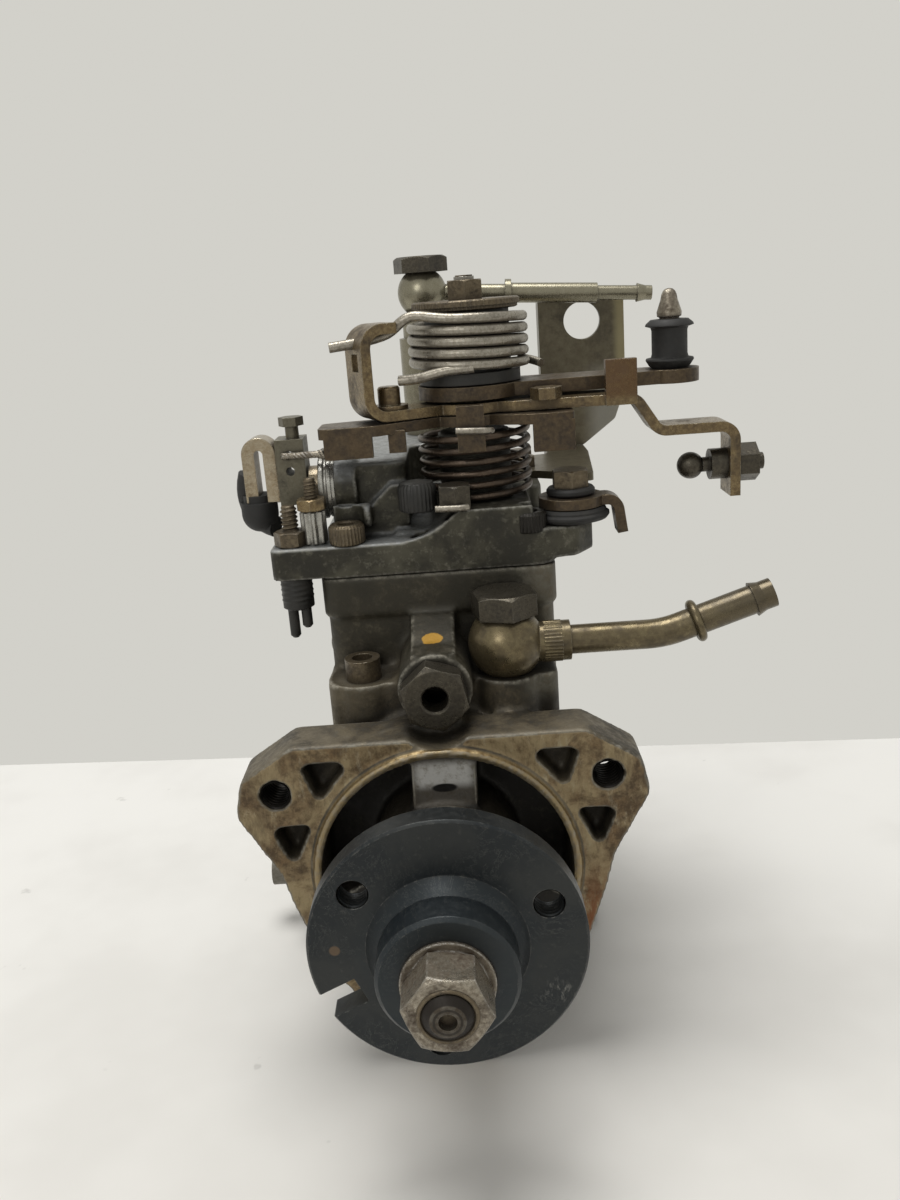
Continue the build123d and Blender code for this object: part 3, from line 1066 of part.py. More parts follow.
# Fast-idle lever: cross shaft, flat blade and the U-shaped strip
strip_top_z = 118.5
strip_width = 8.0
strip_gap = 2.6
with BuildPart() as fast_idle_lever:
    rod_x(idle_shaft_radius, -45, -26, idle_y, idle_z)
    rod_x(6.5, -34.5, -31.3, idle_y, idle_z)
    right_leg_x = idle_left_x + idle_strip + strip_gap
    outer = idle_strip * 2 + strip_gap
    middle_x = idle_left_x + outer / 2
    arch_z = strip_top_z - outer / 2
    with BuildSketch(at_y(idle_y + strip_width / 2)):
        with Locations((middle_x, arch_z)):
            Circle(outer / 2)
            Circle(strip_gap / 2, mode=Mode.SUBTRACT)
        with Locations((middle_x, arch_z - outer / 2)):
            Rectangle(outer, outer, mode=Mode.SUBTRACT)
        for leg_x in (idle_left_x, right_leg_x):
            with Locations((leg_x + idle_strip / 2, (arch_z + 99) / 2)):
                Rectangle(idle_strip, arch_z - 99)
    extrude(amount=strip_width)
finish(fast_idle_lever, "fast_idle_lever")

with BuildPart() as fast_idle_boot:
    boot_x = idle_left_x + idle_strip / 2 + 1
    rod_z(5.6, 95, 98.8, boot_x, idle_y)
    with Locations((boot_x, idle_y, 95)):
        Sphere(5.6)
    rod_z(4.6, 98.8, 101, boot_x, idle_y)
    block((idle_left_x, idle_left_x + idle_strip), (idle_y - 4, idle_y + 4), (99, 102), mode=Mode.SUBTRACT)
    block((right_leg_x, right_leg_x + idle_strip), (idle_y - 4, idle_y + 4), (99, 102), mode=Mode.SUBTRACT)
finish(fast_idle_boot, "fast_idle_boot")

clamp_x = -39.3
with BuildPart() as cable_clamp:
    block((clamp_x - 4.3, clamp_x + 4.3), (idle_y - 5, idle_y + 5), (97.8, 117.5))
    rod_x(idle_shaft_radius, clamp_x - 5, clamp_x + 5, idle_y, idle_z, mode=Mode.SUBTRACT)
    for hole_z in (108, 112.8):
        rod_y(1.3, idle_y - 6, idle_y + 6, clamp_x - 0.3, hole_z, mode=Mode.SUBTRACT)
    rod_z(2, 117, 121.5, clamp_x + 1, idle_y - 2)
    hexagon_prism(Plane((clamp_x + 1, idle_y - 2, 121.3), z_dir=(0, 0, 1)), 6.5, 2.6)
finish(cable_clamp, "cable_clamp")

# Cable bracket: upright plate with rolled sides, bent foot on the head
with BuildPart() as cable_bracket:
    plate([(bracket_left_x, 98), (bracket_right_x - 16, 98), (bracket_right_x - 4, 107), (bracket_right_x, 118),
           (bracket_right_x, bracket_top_z), (bracket_left_x, bracket_top_z)], at_y(bracket_y + bracket_thickness),
          bracket_thickness, 3)
    block((bracket_right_x - 2.5, bracket_right_x), (bracket_y, bracket_y + 9), (121, bracket_top_z - 3))
    block((bracket_left_x, bracket_left_x + 2.5), (bracket_y, bracket_y + 9), (104, bracket_top_z - 3))
    rod_y(bracket_hole_radius, bracket_y - 1, bracket_y + 4, bracket_hole_x, bracket_hole_z, mode=Mode.SUBTRACT)
    plate([(28.5, 82), (37, 78), (53, 66), (57, 112), (57, bracket_y + bracket_thickness),
           (bracket_left_x, bracket_y + bracket_thickness), (bracket_left_x, 112), (28.5, 109)],
          Plane.XY.offset(cover_top_z), bracket_thickness, 2)
    for screw_x, screw_y in bracket_screw_places:
        rod_z(cover_screw_radius, cover_top_z - 1, cover_top_z + 4, screw_x, screw_y, mode=Mode.SUBTRACT)
finish(cable_bracket, "cable_bracket")
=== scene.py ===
"""Dressed view of the diesel injection pump, standing as the photograph shows it."""

import math

import bmesh
import bpy
from mathutils import Matrix, Vector


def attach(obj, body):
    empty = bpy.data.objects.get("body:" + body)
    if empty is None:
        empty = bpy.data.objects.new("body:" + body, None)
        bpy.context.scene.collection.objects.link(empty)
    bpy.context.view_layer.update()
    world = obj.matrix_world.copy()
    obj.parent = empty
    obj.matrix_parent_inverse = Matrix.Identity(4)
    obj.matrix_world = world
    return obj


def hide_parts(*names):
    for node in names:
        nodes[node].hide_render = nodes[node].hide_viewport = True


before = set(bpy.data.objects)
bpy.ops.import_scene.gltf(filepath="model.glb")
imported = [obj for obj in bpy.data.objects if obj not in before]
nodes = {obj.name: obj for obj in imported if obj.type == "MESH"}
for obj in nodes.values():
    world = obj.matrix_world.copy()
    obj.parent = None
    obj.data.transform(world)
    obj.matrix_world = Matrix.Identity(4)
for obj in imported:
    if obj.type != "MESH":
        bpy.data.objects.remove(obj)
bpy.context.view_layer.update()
MM = 0.001
X, Y, Z = Vector((1, 0, 0)), Vector((0, 1, 0)), Vector((0, 0, 1))

# Upright axes on the cover: x and y in millimetres
LEVER_AXIS = (16.0, 61.0)
IDLE_STUD = (-40.3, 42.0)
SPEED_SCREW = (-33.3, 42.5)
SPRING_ANCHOR = (9.0, 39.3)
BLACK_CAP = (-2.0, 41.5)
STOP_PIVOT = (43.5, 47.0)
CABLE_PIN = (76.4, 62.0)
# Heights on the cover, the lever nut's seat and the floor: z in millimetres
COVER_EDGE, COVER_STEP, BRACKET_FOOT = 87.3, 95.5, 97.5
NUT_SEAT = 153.6
FLOOR_Z = -65.0
# Holes and outlets about the shaft: angles in degrees, radii and offset in millimetres
FLANGE_HOLES, FLANGE_CIRCLE = (30, 150, 270), 53.1
HUB_HOLES, HUB_CIRCLE = (143, 23, 263), 28.0
OUTLET_OFFSET = 14.85


# ---------------------------------------------------------------- geometry helpers
def new_object(name, data):
    made = bpy.data.objects.new(name, data)
    bpy.context.scene.collection.objects.link(made)
    return made


def shade_smooth(thing):
    for polygon in thing.data.polygons:
        polygon.use_smooth = True
    return thing


def add_mesh(name, vertices, faces, smooth=True):
    """New mesh object from points in millimetres."""
    mesh = bpy.data.meshes.new(name)
    mesh.from_pydata([tuple(c * MM for c in v) for v in vertices], [], faces)
    bm = bmesh.new()
    bm.from_mesh(mesh)
    bmesh.ops.recalc_face_normals(bm, faces=bm.faces)
    bm.to_mesh(mesh)
    bm.free()
    thing = new_object(name, mesh)
    return shade_smooth(thing) if smooth else thing


def place(thing, body, slot, *replaced):
    """Gives a piece its material and its body, and hides the CAD nodes that it stands for."""
    thing.data.materials.clear()
    thing.data.materials.append(paint[slot])
    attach(thing, body)
    if replaced:
        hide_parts(*replaced)
    return thing


def axis_frame(direction, turn=0.0):
    """Unit vector along a direction and two across it, turned about it."""
    direction = Vector(direction).normalized()
    side = Z if abs(direction.z) < 0.9 else X
    u = (side - direction * side.dot(direction)).normalized()
    v = direction.cross(u)
    c, s = math.cos(turn), math.sin(turn)
    return direction, u * c + v * s, v * c - u * s


def around(u, v, angle):
    return u * math.cos(angle) + v * math.sin(angle)


def skin(rows, steps, capped=True):
    """Faces of a tube that runs through rows of points, with its two end caps."""
    faces = []
    for low in range(0, (rows - 1) * steps, steps):
        for k in range(steps):
            n = (k + 1) % steps
            faces.append((low + k, low + n, low + steps + n, low + steps + k))
    if capped:
        faces.append(tuple(range(steps - 1, -1, -1)))
        faces.append(tuple((rows - 1) * steps + k for k in range(steps)))
    return faces


def sharp(thing, angle=32.0):
    """Keeps edges steeper than the angle crisp in the smooth shading."""
    limit = math.radians(angle)
    bm = bmesh.new()
    bm.from_mesh(thing.data)
    for edge in bm.edges:
        edge.smooth = not (len(edge.link_faces) == 2 and edge.calc_face_angle(0.0) > limit)
    bm.to_mesh(thing.data)
    bm.free()
    return thing


def lathe(name, origin, direction, profile, steps=96, waves=None):
    """Solid of revolution; profile is (radius, height) pairs along the direction."""
    axis, u, v = axis_frame(direction)
    origin = Vector(origin)
    points = []
    for radius, height in profile:
        for k in range(steps):
            a = 2 * math.pi * k / steps
            r = radius + (waves(a, radius, height) if waves else 0.0)
            points.append(origin + axis * height + around(u, v, a) * r)
    return sharp(add_mesh(name, points, skin(len(profile), steps)))


def chamfered_hexagon(name, origin, direction, flats, height, turn=0.0, bore=0.0, both=True,
                      washer=0.0):
    """Hexagon head or nut with its corners turned down at 30 degrees, bored or on a washer."""
    axis, u, v = axis_frame(direction, turn)
    origin = Vector(origin)
    steps = 96
    inner, outer = flats / 2, flats / math.sqrt(3)
    face_radius = inner * 0.97
    slope = math.tan(math.radians(30))

    def reach(a):
        return inner / math.cos((a + math.pi / 6) % (math.pi / 3) - math.pi / 6)

    top = [min(reach(2 * math.pi * k / steps), outer) for k in range(steps)]
    low = 0.9 if washer else 0.0
    rows = [[(washer, 0.0)] * steps, [(washer, low)] * steps] if washer else []
    rows.append([(min(r, face_radius) if both else r, low) for r in top])
    if both:
        rows.append([(r, low + max(0.0, (r - face_radius) * slope)) for r in top])
    rows.append([(r, height - max(0.0, (r - face_radius) * slope)) for r in top])
    rows.append([(face_radius, height)] * steps)
    if bore:
        for radius, level in ((bore + 0.5, height), (bore, height - 0.5), (bore, 0.2)):
            rows.append([(radius, level)] * steps)
    points = []
    for row in rows:
        for k, (r, h) in enumerate(row):
            points.append(origin + axis * h + around(u, v, 2 * math.pi * k / steps) * r)
    faces = skin(len(rows), steps, not bore)
    if bore:
        last = (len(rows) - 1) * steps
        faces += [(last + k, last + (k + 1) % steps, (k + 1) % steps, k) for k in range(steps)]
    return sharp(add_mesh(name, points, faces), 20)


def thread(name, origin, direction, radius, length, pitch, depth=None, steps=40, inside=False,
           capped=True):
    """Screw thread as one helical skin, with a chamfered end."""
    axis, u, v = axis_frame(direction)
    origin = Vector(origin)
    depth = depth or pitch * 0.55
    per_turn = 6
    rows = int(length / pitch * per_turn) + 1
    points = []
    for row in range(rows + 1):
        h = length * row / rows
        end = max(0.0, 1.0 - (length - h) / max(pitch, 0.6))
        for k in range(steps):
            phase = ((h / pitch) - k / steps) % 1.0
            dip = depth * (1 - abs(2 * phase - 1))
            r = radius + dip if inside else radius - dip * (1 - end) - depth * end
            points.append(origin + axis * h + around(u, v, 2 * math.pi * k / steps) * r)
    return add_mesh(name, points, skin(rows + 1, steps, capped and not inside))


def evaluated_mesh(thing):
    graph = bpy.context.evaluated_depsgraph_get()
    return bpy.data.meshes.new_from_object(thing.evaluated_get(graph))


def wire(name, points, radius):
    """Round wire along a path in millimetres, as a mesh with closed ends."""
    curve = bpy.data.curves.new(name, "CURVE")
    curve.dimensions = "3D"
    spline = curve.splines.new("NURBS")
    spline.points.add(len(points) - 1)
    for target, source in zip(spline.points, points):
        target.co = (*(Vector(source) * MM), 1.0)
    spline.order_u = 4
    spline.use_endpoint_u = True
    curve.bevel_depth = radius * MM
    curve.bevel_resolution = 4
    curve.resolution_u = 3
    curve.use_fill_caps = True
    thing = new_object(name, curve)
    mesh = evaluated_mesh(thing)
    bpy.data.objects.remove(thing)
    bpy.data.curves.remove(curve)
    return shade_smooth(new_object(name, mesh))


def join(name, things):
    """One object from the meshes of several, which it takes the place of."""
    bm = bmesh.new()
    for thing in things:
        bm.from_mesh(thing.data)
    mesh = bpy.data.meshes.new(name)
    bm.to_mesh(mesh)
    bm.free()
    for thing in things:
        bpy.data.objects.remove(thing)
    return new_object(name, mesh)


def apply_modifiers(thing):
    mesh = evaluated_mesh(thing)
    thing.modifiers.clear()
    old = thing.data
    thing.data = mesh
    bpy.data.meshes.remove(old)


def cast_copy(name, node, voxel, keep, webs=()):
    """The CAD casting with edges rounded as a foundry leaves them, except where keep says so,
    and webs over thin or open places."""
    mesh = nodes[node].data.copy()
    mesh.name = name
    made = new_object(name, mesh)
    sides = [(0, 3, 2, 1), (4, 5, 6, 7), (0, 1, 5, 4), (1, 2, 6, 5), (2, 3, 7, 6), (3, 0, 4, 7)]
    for (x0, x1), (y0, y1), (z0, z1) in webs:
        outline = (x0, y0), (x1, y0), (x1, y1), (x0, y1)
        corners = [(x, y, z) for z in (z0, z1) for x, y in outline]
        made = join(name, [made, add_mesh("web", corners, sides, smooth=False)])
    remesh = made.modifiers.new("remesh", "REMESH")
    remesh.mode = "VOXEL"
    remesh.voxel_size = voxel * MM
    remesh.adaptivity = 0.0
    apply_modifiers(made)
    group = made.vertex_groups.new(name="soft")
    group.add([v.index for v in made.data.vertices if not keep(v.co / MM)], 1.0, "REPLACE")
    smooth = made.modifiers.new("smooth", "SMOOTH")
    smooth.factor = 0.5
    smooth.iterations = 3
    smooth.vertex_group = "soft"
    apply_modifiers(made)
    return shade_smooth(made)


# ---------------------------------------------------------------- material helpers
class Graph:
    """Small wrapper that builds one node material."""

    def __init__(self, name):
        self.material = bpy.data.materials.new(name)
        self.material.use_nodes = True
        self.tree = self.material.node_tree
        self.tree.nodes.clear()
        self.out = self.make("ShaderNodeOutputMaterial")
        self.shader = self.make("ShaderNodeBsdfPrincipled")
        self.tree.links.new(self.shader.outputs[0], self.out.inputs[0])

    def make(self, kind, **settings):
        made = self.tree.nodes.new(kind)
        for key, value in settings.items():
            setattr(made, key, value)
        return made

    def feed(self, socket, value):
        """Links an output to a socket, or sets the socket to a number or a colour."""
        if isinstance(value, bpy.types.NodeSocket):
            self.tree.links.new(value, socket)
        elif hasattr(socket, "default_value"):
            if isinstance(value, (tuple, list)) and len(value) == 3 and socket.type == "RGBA":
                value = (*value, 1.0)
            socket.default_value = value

    def look(self, part, value):
        """Sets one input of the surface shader."""
        self.feed(self.shader.inputs[part], value)

    def place(self, offset=0.0, scale=(1, 1, 1)):
        source = self.make("ShaderNodeTexCoord").outputs["Object"]
        mapping = self.make("ShaderNodeMapping")
        self.feed(mapping.inputs["Vector"], source)
        mapping.inputs["Location"].default_value = (offset, offset * 0.7, offset * 1.3)
        mapping.inputs["Scale"].default_value = scale
        return mapping.outputs[0]

    def noise(self, where, scale, detail=5.0, rough=0.6, distort=0.0):
        made = self.make("ShaderNodeTexNoise")
        self.feed(made.inputs["Vector"], where)
        made.inputs["Scale"].default_value = scale
        made.inputs["Detail"].default_value = detail
        made.inputs["Roughness"].default_value = rough
        made.inputs["Distortion"].default_value = distort
        return made.outputs[0]

    def math(self, kind, a, b=0.0, c=0.0):
        made = self.make("ShaderNodeMath", operation=kind)
        for socket, value in zip(made.inputs, (a, b, c)):
            self.feed(socket, value)
        return made.outputs[0]

    def add(self, a, b):
        return self.math("ADD", a, b)

    def sub(self, a, b):
        return self.math("SUBTRACT", a, b)

    def mul(self, a, b):
        return self.math("MULTIPLY", a, b)

    def span(self, a, b):
        """Distance from the origin of a point with the coordinates a and b."""
        return self.math("SQRT", self.add(self.mul(a, a), self.mul(b, b)))

    def ramp(self, value, low, high, to_low=0.0, to_high=1.0):
        """Smooth step from to_low at low to to_high at high."""
        made = self.make("ShaderNodeMapRange", interpolation_type="SMOOTHSTEP")
        for socket, number in zip(made.inputs, (value, low, high, to_low, to_high)):
            self.feed(socket, number)
        return made.outputs[0]

    def fall(self, value, low, high):
        """1 below low and 0 above high."""
        return self.ramp(value, low, high, 1.0, 0.0)

    def mix(self, factor, a, b):
        made = self.make("ShaderNodeMix", data_type="RGBA")
        self.feed(made.inputs[0], factor)
        self.feed(made.inputs[6], a)
        self.feed(made.inputs[7], b)
        return made.outputs[2]

    def split(self, source):
        """x, y and z of the vector that a call of the source gives."""
        made = self.make("ShaderNodeSeparateXYZ")
        self.feed(made.inputs[0], source())
        return made.outputs[0], made.outputs[1], made.outputs[2]

    def parts(self):
        """x, y and z of the point in metres."""
        return self.split(lambda: self.make("ShaderNodeTexCoord").outputs["Object"])

    def facing(self):
        """The surface normal as a vector."""
        return self.make("ShaderNodeNewGeometry").outputs["Normal"]

    def normal(self):
        """x, y and z of the surface normal."""
        return self.split(self.facing)

    def corner(self):
        """How far the mesh stands out at a point, 0.5 where it is flat."""
        return self.make("ShaderNodeNewGeometry").outputs["Pointiness"]

    def edge(self, radius):
        """Rounded normal, and how far it leans from the true one."""
        bevel = self.make("ShaderNodeBevel", samples=4)
        bevel.inputs["Radius"].default_value = radius * MM
        dot = self.make("ShaderNodeVectorMath", operation="DOT_PRODUCT")
        self.feed(dot.inputs[0], bevel.outputs[0])
        self.feed(dot.inputs[1], self.facing())
        return bevel.outputs[0], self.sub(1.0, dot.outputs["Value"])

    def hollow(self, distance):
        """How open a point is to its surroundings, 1 in the open."""
        made = self.make("ShaderNodeAmbientOcclusion", samples=6)
        made.inputs["Distance"].default_value = distance * MM
        return made.outputs["AO"]

    def bump(self, height, strength, distance, normal=None):
        made = self.make("ShaderNodeBump")
        made.inputs["Strength"].default_value = strength
        made.inputs["Distance"].default_value = distance * MM
        self.feed(made.inputs["Height"], height)
        if normal is not None:
            self.feed(made.inputs["Normal"], normal)
        return made.outputs[0]


def worn(name, base, second, grime_and_shade, bright, metal, rough, patch, cover, grain, bump, radius, edge,
         cavity_shade, reach, seed):
    """Metal in two tones with grime in patches, painted shade in its hollows, wear on its edges
    and a grain.
    """
    g = Graph(name)
    where = g.place(seed)
    large = g.noise(where, patch, 5, 0.62, 0.3)
    fine = g.noise(where, patch * 7, 6, 0.72)
    grit = g.noise(where, grain, 3, 0.6)
    rounded, rim = g.edge(radius)
    blend = g.add(large, g.mul(g.sub(fine, 0.5), 0.5))
    dirt_and_shade = g.ramp(blend, 1.0 - cover - 0.16, 1.0 - cover + 0.30)
    # painted shade: ambient occlusion darkens the hollows, and this mask joins it to the grime
    # patches
    hollow = g.fall(g.hollow(reach), 0.35, 0.95)
    dirt_and_shade = g.math("MAXIMUM", dirt_and_shade, g.mul(hollow, cavity_shade))
    tone = g.mix(g.ramp(fine, 0.22, 0.80), base, second)
    tone = g.mix(dirt_and_shade, tone, grime_and_shade)
    wear = g.mul(g.ramp(rim, 0.04, 0.25), g.ramp(fine, 0.42, 0.6))
    wear = g.mul(wear, edge)
    tone = g.mix(wear, tone, bright)
    g.look("Base Color", tone)
    clean = g.sub(1.0, g.mul(dirt_and_shade, 0.75))
    g.look("Metallic", g.mul(clean, metal))
    roughness = g.add(g.ramp(dirt_and_shade, 0.0, 1.0, rough[0], rough[1]), g.mul(g.sub(grit, 0.5), 0.25))
    g.look("Roughness", roughness)
    height = g.add(g.mul(grit, 0.5), g.mul(fine, 0.8))
    g.look("Normal", g.bump(height, bump, 0.35, rounded))
    return g


def retint(g, mask, colour):
    """Mixes one more colour over a metal where the mask says."""
    before = g.shader.inputs["Base Color"].links[0].from_socket
    g.look("Base Color", g.mix(mask, before, colour))


def dull(name, base, second, rough, seed):
    """Rubber or plastic with dust in a fine grain."""
    g = Graph(name)
    where = g.place(seed)
    large = g.noise(where, 150.0, 6, 0.65)
    grit = g.noise(where, 1500.0, 3, 0.6)
    rounded, rim = g.edge(0.4)
    tone = g.mix(g.ramp(large, 0.42, 0.72), base, second)
    tone = g.mix(g.mul(g.ramp(rim, 0.05, 0.3), 0.45), tone, second)
    g.look("Base Color", tone)
    g.look("Roughness", g.ramp(large, 0.3, 0.7, rough - 0.12, rough + 0.15))
    g.look("Normal", g.bump(grit, 0.2, 0.2, rounded))
    return g


# ---------------------------------------------------------------- materials
def casting_paint():
    """Pump housing: grimy cast aluminium, a stained machined face and a brassy pilot ring.

    Lengths are metres from the shaft axis (x, z) and from the flange face (y)."""
    g = Graph("cast_aluminium_worn")
    where = g.place(0.3)
    x, y, z = g.parts()
    _, ny, nz = g.normal()
    large = g.noise(where, 45, 5, 0.62, 0.4)
    fine = g.noise(where, 380, 6, 0.72)
    grit = g.noise(where, 1400, 3, 0.6)
    point = g.corner()
    ao = g.hollow(7)
    # dirty cast skin, its patches broken up by the fine grain, and a painted sheen on the neck's
    # right side
    large = g.add(large, g.mul(g.sub(fine, 0.5), 0.55))
    skin = g.mix(g.ramp(large, 0.30, 0.66), (0.150, 0.126, 0.084), (0.056, 0.045, 0.029))
    skin = g.mix(g.ramp(fine, 0.50, 0.80, 0.0, 0.8), skin, (0.240, 0.218, 0.165))
    skin = g.mix(g.mul(g.ramp(large, 0.46, 0.70), 0.85), skin, (0.024, 0.021, 0.015))
    neck = g.mul(g.ramp(z, 0.044, 0.058), g.ramp(x, 0.034, 0.026))
    skin = g.mix(g.mul(neck, g.ramp(fine, 0.42, 0.72, 0.92, 0.45)), skin, (0.024, 0.022, 0.014))
    # painted sheen: the right side of the neck is painted paler
    side_sheen = g.mul(g.ramp(x, 0.022, 0.030), g.ramp(z, 0.040, 0.046))
    skin = g.mix(g.mul(side_sheen, g.ramp(fine, 0.35, 0.6, 0.15, 0.6)), skin,
                 (0.200, 0.190, 0.150))
    # machined front face: tan stain with upright scratches, soot at its rim, rust below right
    flow = g.place(0.9, (1.0, 1.0, 0.30))
    streak = g.noise(flow, 330, 6, 0.75)
    blot = g.noise(g.place(2.2), 75, 6, 0.7, 0.5)
    face = g.mix(g.ramp(blot, 0.34, 0.66), (0.340, 0.270, 0.150), (0.190, 0.122, 0.056))
    face = g.mix(g.ramp(streak, 0.50, 0.72, 0.0, 0.75), face, (0.070, 0.045, 0.022))
    face = g.mix(g.ramp(streak, 0.30, 0.46, 0.65, 0.0), face, (0.440, 0.390, 0.270))
    soot = g.mul(g.ramp(fine, 0.36, 0.62), g.ramp(blot, 0.42, 0.58))
    face = g.mix(g.mul(soot, 0.7), face, (0.055, 0.036, 0.019))
    rim_soot = g.mul(g.ramp(g.math("ABSOLUTE", x), 0.040, 0.060), g.ramp(streak, 0.36, 0.56))
    face = g.mix(g.mul(rim_soot, 0.5), face, (0.055, 0.034, 0.018))
    rust = g.mul(g.ramp(x, 0.018, 0.036), g.ramp(z, 0.004, -0.020))
    face = g.mix(g.mul(rust, g.ramp(streak, 0.36, 0.56)), face, (0.200, 0.072, 0.022))
    flat = g.mul(g.fall(ny, -0.97, -0.90), g.fall(y, 0.0006, 0.0012))
    tone = g.mix(flat, skin, face)
    # pilot ring
    radius = g.span(x, z)
    ring = g.mul(g.ramp(radius, 0.0350, 0.0356), g.ramp(y, -0.0002, -0.0009))
    ring = g.mul(ring, g.fall(radius, 0.0382, 0.0390))
    brass = g.mix(g.ramp(fine, 0.35, 0.65), (0.300, 0.230, 0.120), (0.190, 0.130, 0.060))
    tone = g.mix(ring, tone, brass)
    # open pocket inside it: dark, with painted highlight and painted shade on the saddle over the
    # hub, and the painted shade of a slot in that
    inside = g.mul(g.fall(radius, 0.0352, 0.0358), g.fall(y, 0.0215, 0.0225))
    pocket_tone = g.mix(g.ramp(fine, 0.5, 0.75), (0.012, 0.010, 0.008), (0.050, 0.045, 0.034))
    side = g.math("ABSOLUTE", g.sub(x, 0.0009))
    saddle = g.mul(g.fall(side, 0.0094, 0.0102), g.ramp(z, 0.0195, 0.0215))
    saddle = g.mul(saddle, g.ramp(y, 0.0165, 0.0135))
    # painted highlight: a bright band along the saddle, with painted shade on its flanks and above
    # and below the band
    saddle_light_and_shade = g.mix(g.ramp(fine, 0.44, 0.74), (0.640, 0.635, 0.605), (0.260, 0.235, 0.190))
    saddle_light_and_shade = g.mix(g.ramp(side, 0.0060, 0.0092, 0.0, 0.75), saddle_light_and_shade, (0.070, 0.055, 0.038))
    lip = g.math("ABSOLUTE", g.sub(z, 0.0298))
    saddle_light_and_shade = g.mix(g.ramp(lip, 0.0018, 0.0052, 0.0, 0.92), saddle_light_and_shade, (0.070, 0.058, 0.042))
    # painted shade: a near-black ellipse where the slot lies under the saddle's lip
    wide = g.math("POWER", g.math("DIVIDE", side, 0.0036), 2.0)
    high = g.math("POWER", g.math("DIVIDE", g.sub(z, 0.0258), 0.0013), 2.0)
    under = g.math("SQRT", g.add(wide, high))
    saddle_light_and_shade = g.mix(g.fall(under, 0.8, 1.15), saddle_light_and_shade, (0.006, 0.005, 0.004))
    pocket_tone = g.mix(saddle, pocket_tone, saddle_light_and_shade)
    tone = g.mix(g.mul(inside, g.ramp(radius, 0.0205, 0.0212)), tone, pocket_tone)
    # dab of yellow paint on the valve rib
    across = g.math("DIVIDE", g.add(x, 0.0002), 0.0036)
    along = g.math("DIVIDE", g.sub(y, 0.0226), 0.0030)
    dab = g.span(across, along)
    dab = g.mul(g.fall(g.add(dab, g.mul(fine, 0.5)), 1.02, 1.14), g.ramp(nz, 0.4, 0.7))
    tone = g.mix(g.mul(dab, g.ramp(z, 0.0560, 0.0570)), tone, (0.430, 0.240, 0.030))
    # rubbed edges, and painted shade darkening the hollows
    rub = g.mul(g.ramp(point, 0.512, 0.550), g.ramp(fine, 0.38, 0.66, 0.05, 0.65))
    tone = g.mix(rub, tone, (0.38, 0.36, 0.30))
    tone = g.mix(g.mul(g.ramp(ao, 0.3, 0.9, 0.85, 0.0), 0.95), tone, (0.014, 0.012, 0.009))
    g.look("Base Color", tone)
    g.look("Metallic", g.add(g.mul(ring, 0.5), 0.3))
    rough = g.ramp(fine, 0.3, 0.7, 0.42, 0.68)
    g.look("Roughness", g.sub(rough, g.mul(ring, 0.12)))
    height = g.add(g.mul(grit, 0.6), fine)
    height = g.add(height, g.mul(streak, flat))
    g.look("Normal", g.bump(height, 0.35, 0.35))
    return g.material


def cover_paint():
    """Governor cover: dark grey casting with rubbed edges, a painted highlight on the upward faces
    of its left half and painted shade in its hollows.
    """
    g = Graph("cover_casting_worn")
    where = g.place(1.7)
    x, _, z = g.parts()
    _, _, nz = g.normal()
    large = g.noise(where, 50, 5, 0.62, 0.4)
    fine = g.noise(where, 420, 6, 0.72)
    grit = g.noise(where, 1500, 3, 0.6)
    point = g.corner()
    ao = g.hollow(7)
    tone = g.mix(g.ramp(large, 0.36, 0.64), (0.080, 0.076, 0.054), (0.034, 0.031, 0.021))
    tone = g.mix(g.ramp(fine, 0.50, 0.70), tone, (0.160, 0.152, 0.118))
    tone = g.mix(g.mul(g.ramp(large, 0.48, 0.64), 0.8), tone, (0.020, 0.019, 0.014))
    # painted highlight: the faces that look upwards on the left half are painted pale
    left = g.mul(g.ramp(x, 0.010, -0.006), g.ramp(z, 0.0845, 0.0868))
    top = g.mul(g.ramp(nz, 0.15, 0.70), left)
    tone = g.mix(g.mul(top, g.ramp(fine, 0.35, 0.70, 1.0, 0.45)), tone, (0.310, 0.322, 0.325))
    rub = g.mul(g.ramp(point, 0.512, 0.545), g.ramp(fine, 0.36, 0.66, 0.05, 0.6))
    tone = g.mix(rub, tone, (0.36, 0.355, 0.32))
    # painted shade: ambient occlusion darkens the hollows
    tone = g.mix(g.mul(g.ramp(ao, 0.3, 0.9, 0.85, 0.0), 0.95), tone, (0.014, 0.013, 0.010))
    g.look("Base Color", tone)
    g.look("Metallic", 0.35)
    g.look("Roughness", g.ramp(fine, 0.3, 0.7, 0.40, 0.64))
    height = g.add(g.mul(grit, 0.6), fine)
    g.look("Normal", g.bump(height, 0.35, 0.35))
    return g.material


